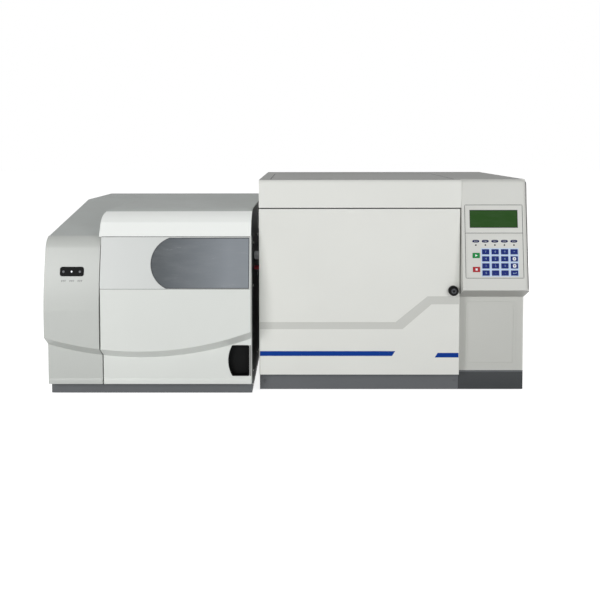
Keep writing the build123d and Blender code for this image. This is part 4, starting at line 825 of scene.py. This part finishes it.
# ---------------------------------------------------------------- inside the oven and under the lid
def wind_column():
    """Turns of capillary on the cage, the clips that hold them and the two ends."""
    steps, width, bed = 40, 14.0, 89.0
    profile = [(bed, -width)]
    for k in range(steps + 1):
        profile.append((90.2 + 0.8 * abs(math.sin(math.pi * k / 4)), -width + width * k / steps))
    profile.append((bed, 0.0))
    Piece((OVEN_X, -198.5, OVEN_Z)).turned(0, 0, profile, 72).done("column_turns", "cabinet", "column_film", 80)
    clips = Piece((OVEN_X, -201.5, OVEN_Z))
    for i in range(8):
        turn = 2 * math.pi * (i + 0.5) / 8
        c, s = math.cos(turn), math.sin(turn)
        for inner, low, high, edge in ((83.0, -0.4, 0.8, 0.2), (91.6, -20.0, 0.0, 0.0)):
            bar = [(inner, -1.6), (93.0, -1.6), (93.0, 1.6), (inner, 1.6)]
            clips.plate([(r * c - t * s, r * s + t * c) for r, t in bar], low, high, edge)
    clips.done("column_clips", "cabinet", "polished_steel")
    bend_tube("column_end_inlet", [(90.0, -190.0, 299.0), (70.0, -188.0, 312.0), (56.0, -180.0, 326.0),
                                   (54.0, -174.0, 340.0), (54.0, -173.5, 353.0)], 0.7, "column_film")
    bend_tube("column_end_outlet", [(64.0, -192.0, 258.0), (48.0, -190.0, 276.0), (34.0, -182.0, 294.0),
                                    (26.0, -179.0, 300.0), (17.0, -178.5, 300.6)], 0.7, "column_film")


def bend_tube(name, points, radius, finish):
    """A stiff tube along a smooth line through the inside."""
    line = bpy.data.curves.new(name, "CURVE")
    line.dimensions, line.bevel_depth, line.bevel_resolution, line.resolution_u = "3D", radius * MM, 2, 6
    run = line.splines.new("NURBS")
    run.points.add(len(points) - 1)
    for knot, point in zip(run.points, points):
        knot.co = (*(Vector(point) * MM), 1.0)
    run.order_u, run.use_endpoint_u = 4, True
    line.materials.append(finishes[finish])
    item = bpy.data.objects.new(name, line)
    bpy.context.scene.collection.objects.link(item)
    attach(item, "cabinet")


def fit_oven():
    """Guard screws, the temperature probe and the screws of the door's inner plate."""
    guard = [(x, -200, z) for x, z in grid((20.0, 278.0), (101.0, 359.0))]
    fasten("screws_fan_guard", "fan_guard", REARWARD, guard, 2.6)
    probe = Piece((249.0, -170.0, 370.0), up=(0, -1, 0))
    probe.turned(0, 0, [(0, -0.2), (4, -0.2), (4, 3.5), (1.6, 5), (1.6, 36), (1.0, 38.5), (0, 39)], 20)
    probe.done("oven_probe", "cabinet", "polished_steel")
    spots = [(x, -262, z) for x, z in ((-30, 58), (149, 58), (330, 58), (-30, 405), (149, 405), (330, 405),
                                       (-30, 230), (330, 150), (330, 310))]
    fasten("screws_door_liner", "door_liner", FRONTWARD, spots, 2.2, body="oven_door")
    frame_spots = [(x, -300, z) for x, z in ((-30, 64), (330, 64), (-30, 440), (149, 440), (330, 440))]
    fasten("screws_front_frame", "oven_front_frame", REARWARD, frame_spots, 2.0)
    hub = Piece((OVEN_X, corners("oven_fan")[0].y, OVEN_Z))
    hub.turned(0, 0, [(0, -0.3), (8.0, -0.3), (8.0, 1.0), (7.0, 1.8), (3.5, 1.8), (3.0, 0.4), (0, 0.4)], 6)
    hub.done("fan_hub_nut", "oven_fan", "polished_steel", 20)


def fit_injector():
    """Knurled cap and the needle guide of the injector, and the screws of the well's floor."""
    head = (gc_low.x + 120.0, gc_low.y + 90.0, corners("injector")[1].z)
    knurl = []
    for i in range(72):
        turn, radius = 2 * math.pi * i / 72, 11.7 if i % 2 else 11.05
        knurl.append((radius * math.cos(turn), radius * math.sin(turn)))
    cap = Piece(head, up=(0, 1, 0))
    cap.plate(knurl, -11.5, -1.5, 0.2).done("injector_knurl", "cabinet", "turned_steel", 25)
    guide = [(1.3, -0.3), (6.0, -0.3), (6.0, 1.2), (5.0, 2.0), (2.6, 2.0), (1.3, 0.6), (1.3, -0.3)]
    Piece(head, up=(0, 1, 0)).turned(0, 0, guide, 28).done("injector_guide", "cabinet", "brass")
    floor = [(u, v, 470.0) for u, v in grid((-20.0, 167.0, 355.0), (-232.0, 60.0))]
    fasten("screws_well_floor", "gc_top_cover", (0, 0, -1), floor, 2.6, up=(0, 1, 0))


# ---------------------------------------------------------------- inside the detector
def fit_chamber():
    """Bolts of the vacuum chamber's lid and its front flange."""
    lid = [(x, y, 400.0) for x, y in grid((-290.0, -118.0), (-226.0, -165.0, -104.5, -44.0, 17.0))]
    lid += [(CHAMBER_X, y, 400.0) for y in (-226.0, 17.0)]
    fasten("bolts_chamber_lid", "vacuum_chamber", (0, 0, -1), lid, 4.0, up=(0, 1, 0))
    flange = Piece((CHAMBER_X, -239.5, 294.0))
    flange.turned(0, 0, [(0, -0.2), (36, -0.2), (36, 5), (34.5, 6.5), (23, 6.5), (21, 4.5), (0, 4.5)], 48)
    flange.done("chamber_flange", "cabinet", "cast_aluminium")
    bolts = Piece((CHAMBER_X, -246.0, 294.0))
    for i in range(8):
        turn = 2 * math.pi * (i + 0.5) / 8
        bolts.screw(29.0 * math.cos(turn), 29.0 * math.sin(turn), 3.0)
    bolts.done("bolts_chamber_flange", "cabinet", "polished_steel")


def fit_board():
    """Capacitors, chips and connectors on the main board."""
    face, cans = (Piece((BOARD_X, 0, 0), across=(0, -1, 0)) for _ in range(2))
    for y, z, r, tall in ((-180, 250, 8, 22), (-158, 250, 8, 22), (-136, 250, 6, 16), (30, 100, 9, 26),
                          (52, 100, 9, 26)):
        cans.turned(-y, z, [(0, 0), (r, 0), (r, 1.5), (r - 0.5, 2.5), (r, 3.5), (r, tall - 1), (r - 1, tall),
                            (0, tall - 0.4)], 20)
    cans.done("board_capacitors", "cabinet", "cast_aluminium")
    for y, z, w, h in ((-110, 260, 22, 9), (-80, 260, 22, 9), (0, 270, 16, 16), (20, 200, 24, 10),
                       (-10, 85, 20, 8)):
        face.plate(oblong(-y, z, w, h), 0.6, 3.6, 0.4)
        for k in range(int(w // 3)):
            for side in (-1, 1):
                face.plate(oblong(-y - w / 2 + 2 + 3 * k, z + side * (h / 2 + 0.7), 0.9, 1.6), -0.1, 1.6)
    face.done("board_chips", "cabinet", "grip_plastic")


def trim_plinth():
    """Painted shade: a darker facing on the base under the console, where its shadow falls."""
    Piece((gc_low.x, gc_low.y, 0)).plate(oblong(526.0, 24.6, 147.4, 39.0), -0.2, 0.6, 0.3).done(
        "under_console_shade", "cabinet", "plinth_shaded_paint")


# ---------------------------------------------------------------- lamps, stage and camera
def aim(item, target):
    item.rotation_euler = (Vector(target) - item.location).to_track_quat("-Z", "Y").to_euler()


def area_lamp(name, place, target, size, power):
    data = bpy.data.lights.new(name, "AREA")
    data.shape, data.size, data.size_y, data.energy = "RECTANGLE", *size, power
    item = bpy.data.objects.new(name, data)
    bpy.context.scene.collection.objects.link(item)
    item.location = place
    aim(item, target)


def seen_ray(tree):
    """1 for rays from the camera and for those that mirror or pass light, 0 for the rest."""
    path = tree.nodes.new("ShaderNodeLightPath").outputs
    shine = maths(tree, "MAXIMUM", path["Is Glossy Ray"], path["Is Transmission Ray"])
    return maths(tree, "MAXIMUM", path["Is Camera Ray"], shine)


def light_room(fill):
    """A plain world: white where it is seen, a soft fill elsewhere."""
    world = bpy.data.worlds.new("studio")
    world.use_nodes = True
    bpy.context.scene.world = world
    tree = world.node_tree
    backdrop = tree.nodes["Background"].inputs
    backdrop["Color"].default_value = (1.0, 1.0, 1.0, 1.0)
    tree.links.new(remap(tree, seen_ray(tree), 0.0, 1.0, fill, 1.0), backdrop["Strength"])


def lay_floor(size, glow):
    """A pale floor that keeps the object's shadow and joins the white behind it."""
    mesh = bpy.data.meshes.new("floor")
    mesh.from_pydata([(x, y, 0) for x, y in oblong(0, 0, size, size)], [], [(0, 1, 2, 3)])
    floor = bpy.data.objects.new("floor", mesh)
    bpy.context.scene.collection.objects.link(floor)
    made = bpy.data.materials.new("pale_floor")
    made.use_nodes = True
    tree = made.node_tree
    tree.nodes.clear()
    out = tree.nodes.new("ShaderNodeOutputMaterial")
    matt = add(tree, "BsdfDiffuse", {"Color": (0.8, 0.8, 0.8, 1.0)})
    lift = add(tree, "Emission", {"Strength": maths(tree, "MULTIPLY", seen_ray(tree), glow)})
    both = add(tree, "AddShader", {0: matt.outputs[0], 1: lift.outputs[0]})
    tree.links.new(both.outputs[0], out.inputs[0])
    mesh.materials.append(made)


def place_camera():
    data = bpy.data.cameras.new("camera")
    data.lens, data.sensor_width = 50.4, 36.0
    data.shift_x, data.shift_y = 0.0025, -0.186
    item = bpy.data.objects.new("camera", data)
    bpy.context.scene.collection.objects.link(item)
    item.location = (0.0303, -2.1585, 0.5642)
    item.rotation_euler = (math.pi / 2 - 0.053, 0.001, 0.004)
    bpy.context.scene.camera = item


dress_nodes()
# lit and shaded copies of one moulding: front faces get the brightened white, the rest the shaded grey
repaint("ms_casing", "hood_lit_moulding", lambda middle, normal: normal.y < -0.3)
# painted shade: the door's upward facet gets a darker copy of the door's own moulding
repaint("ms_door", "facet_shaded_moulding", lambda middle, normal: normal.y < -0.5 and 0.1 < normal.z < 0.3)
# painted shade: the console's downward faces get the darkened copy of its moulding
repaint("console_housing", "under_shaded_moulding", lambda middle, normal: normal.z < -0.5 and normal.y < 0)
# painted shade: the top cover's upward faces get the greyed copy of the cabinet white
repaint("gc_top_cover", "lid_shaded_paint", lambda middle, normal: normal.z > 0.95 and middle.z > top_z - 1.0)
repaint("transfer_line", "sheath_rubber", lambda middle, normal: middle.z < sheath_top)
repaint("circuit_boards", "grip_plastic", lambda middle, normal: middle.y > 190)
repaint("circuit_boards", "lamp_grey", lambda middle, normal: -210 < middle.y < 70 and middle.x < BOARD_X - 0.2)
repaint("quadrupole", "ceramic_white",
        lambda middle, normal: middle.y > -160 and math.hypot(middle.x - CHAMBER_X, middle.z - 300) > 15.4)
repaint("turbo_pump", "plinth_paint", lambda middle, normal: middle.z < 118.5 and middle.y < 60)
repaint("gc_rear_panel", "oven_steel", lambda middle, normal: middle.y < 234.0)
repaint("column_coil", "polished_steel",
        lambda middle, normal: math.hypot(middle.x - OVEN_X, middle.z - OVEN_Z) < 85.7)
repaint("latch_knob", "turned_steel", lambda middle, normal: middle.y > door_low.y)
repaint("gas_manifold", "polished_steel", lambda middle, normal: middle.y > gc_high.y)
repaint("gas_manifold", "brass", lambda middle, normal: middle.z > 405.1)
print_door()
face_knob()
print_console()
mark_keys()
fit_display()
fit_indicator()
seal_window()
trim_detector()
trim_plinth()
line_seams()
screw_panels()
press_louvres()
fit_rear()
wind_column()
fit_oven()
fit_injector()
fit_chamber()
fit_board()

light_room(0.28)
area_lamp("left_soft", (-1.25, -2.3, 0.85), (0.0, 0.0, 0.25), (0.8, 0.8), 24.2)
area_lamp("right_soft", (1.25, -2.3, 0.85), (0.0, 0.0, 0.25), (0.8, 0.8), 14.0)
area_lamp("rear_soft", (0.3, 2.4, 0.24), (0.0, 0.3, 0.24), (2.0, 0.4), 20.0)
area_lamp("overhead", (0.0, 0.2, 2.4), (0.0, 0.1, 0.4), (1.4, 1.0), 4.0)
area_lamp("far_left", (-2.5, 0.5, 0.24), (-0.5, 0.1, 0.24), (1.2, 0.4), 10.0)
area_lamp("far_right", (2.5, 0.5, 0.24), (0.5, 0.1, 0.24), (1.2, 0.4), 10.0)
lay_floor(30.0, 0.85)
place_camera()
bpy.context.scene.view_settings.view_transform = "Standard"
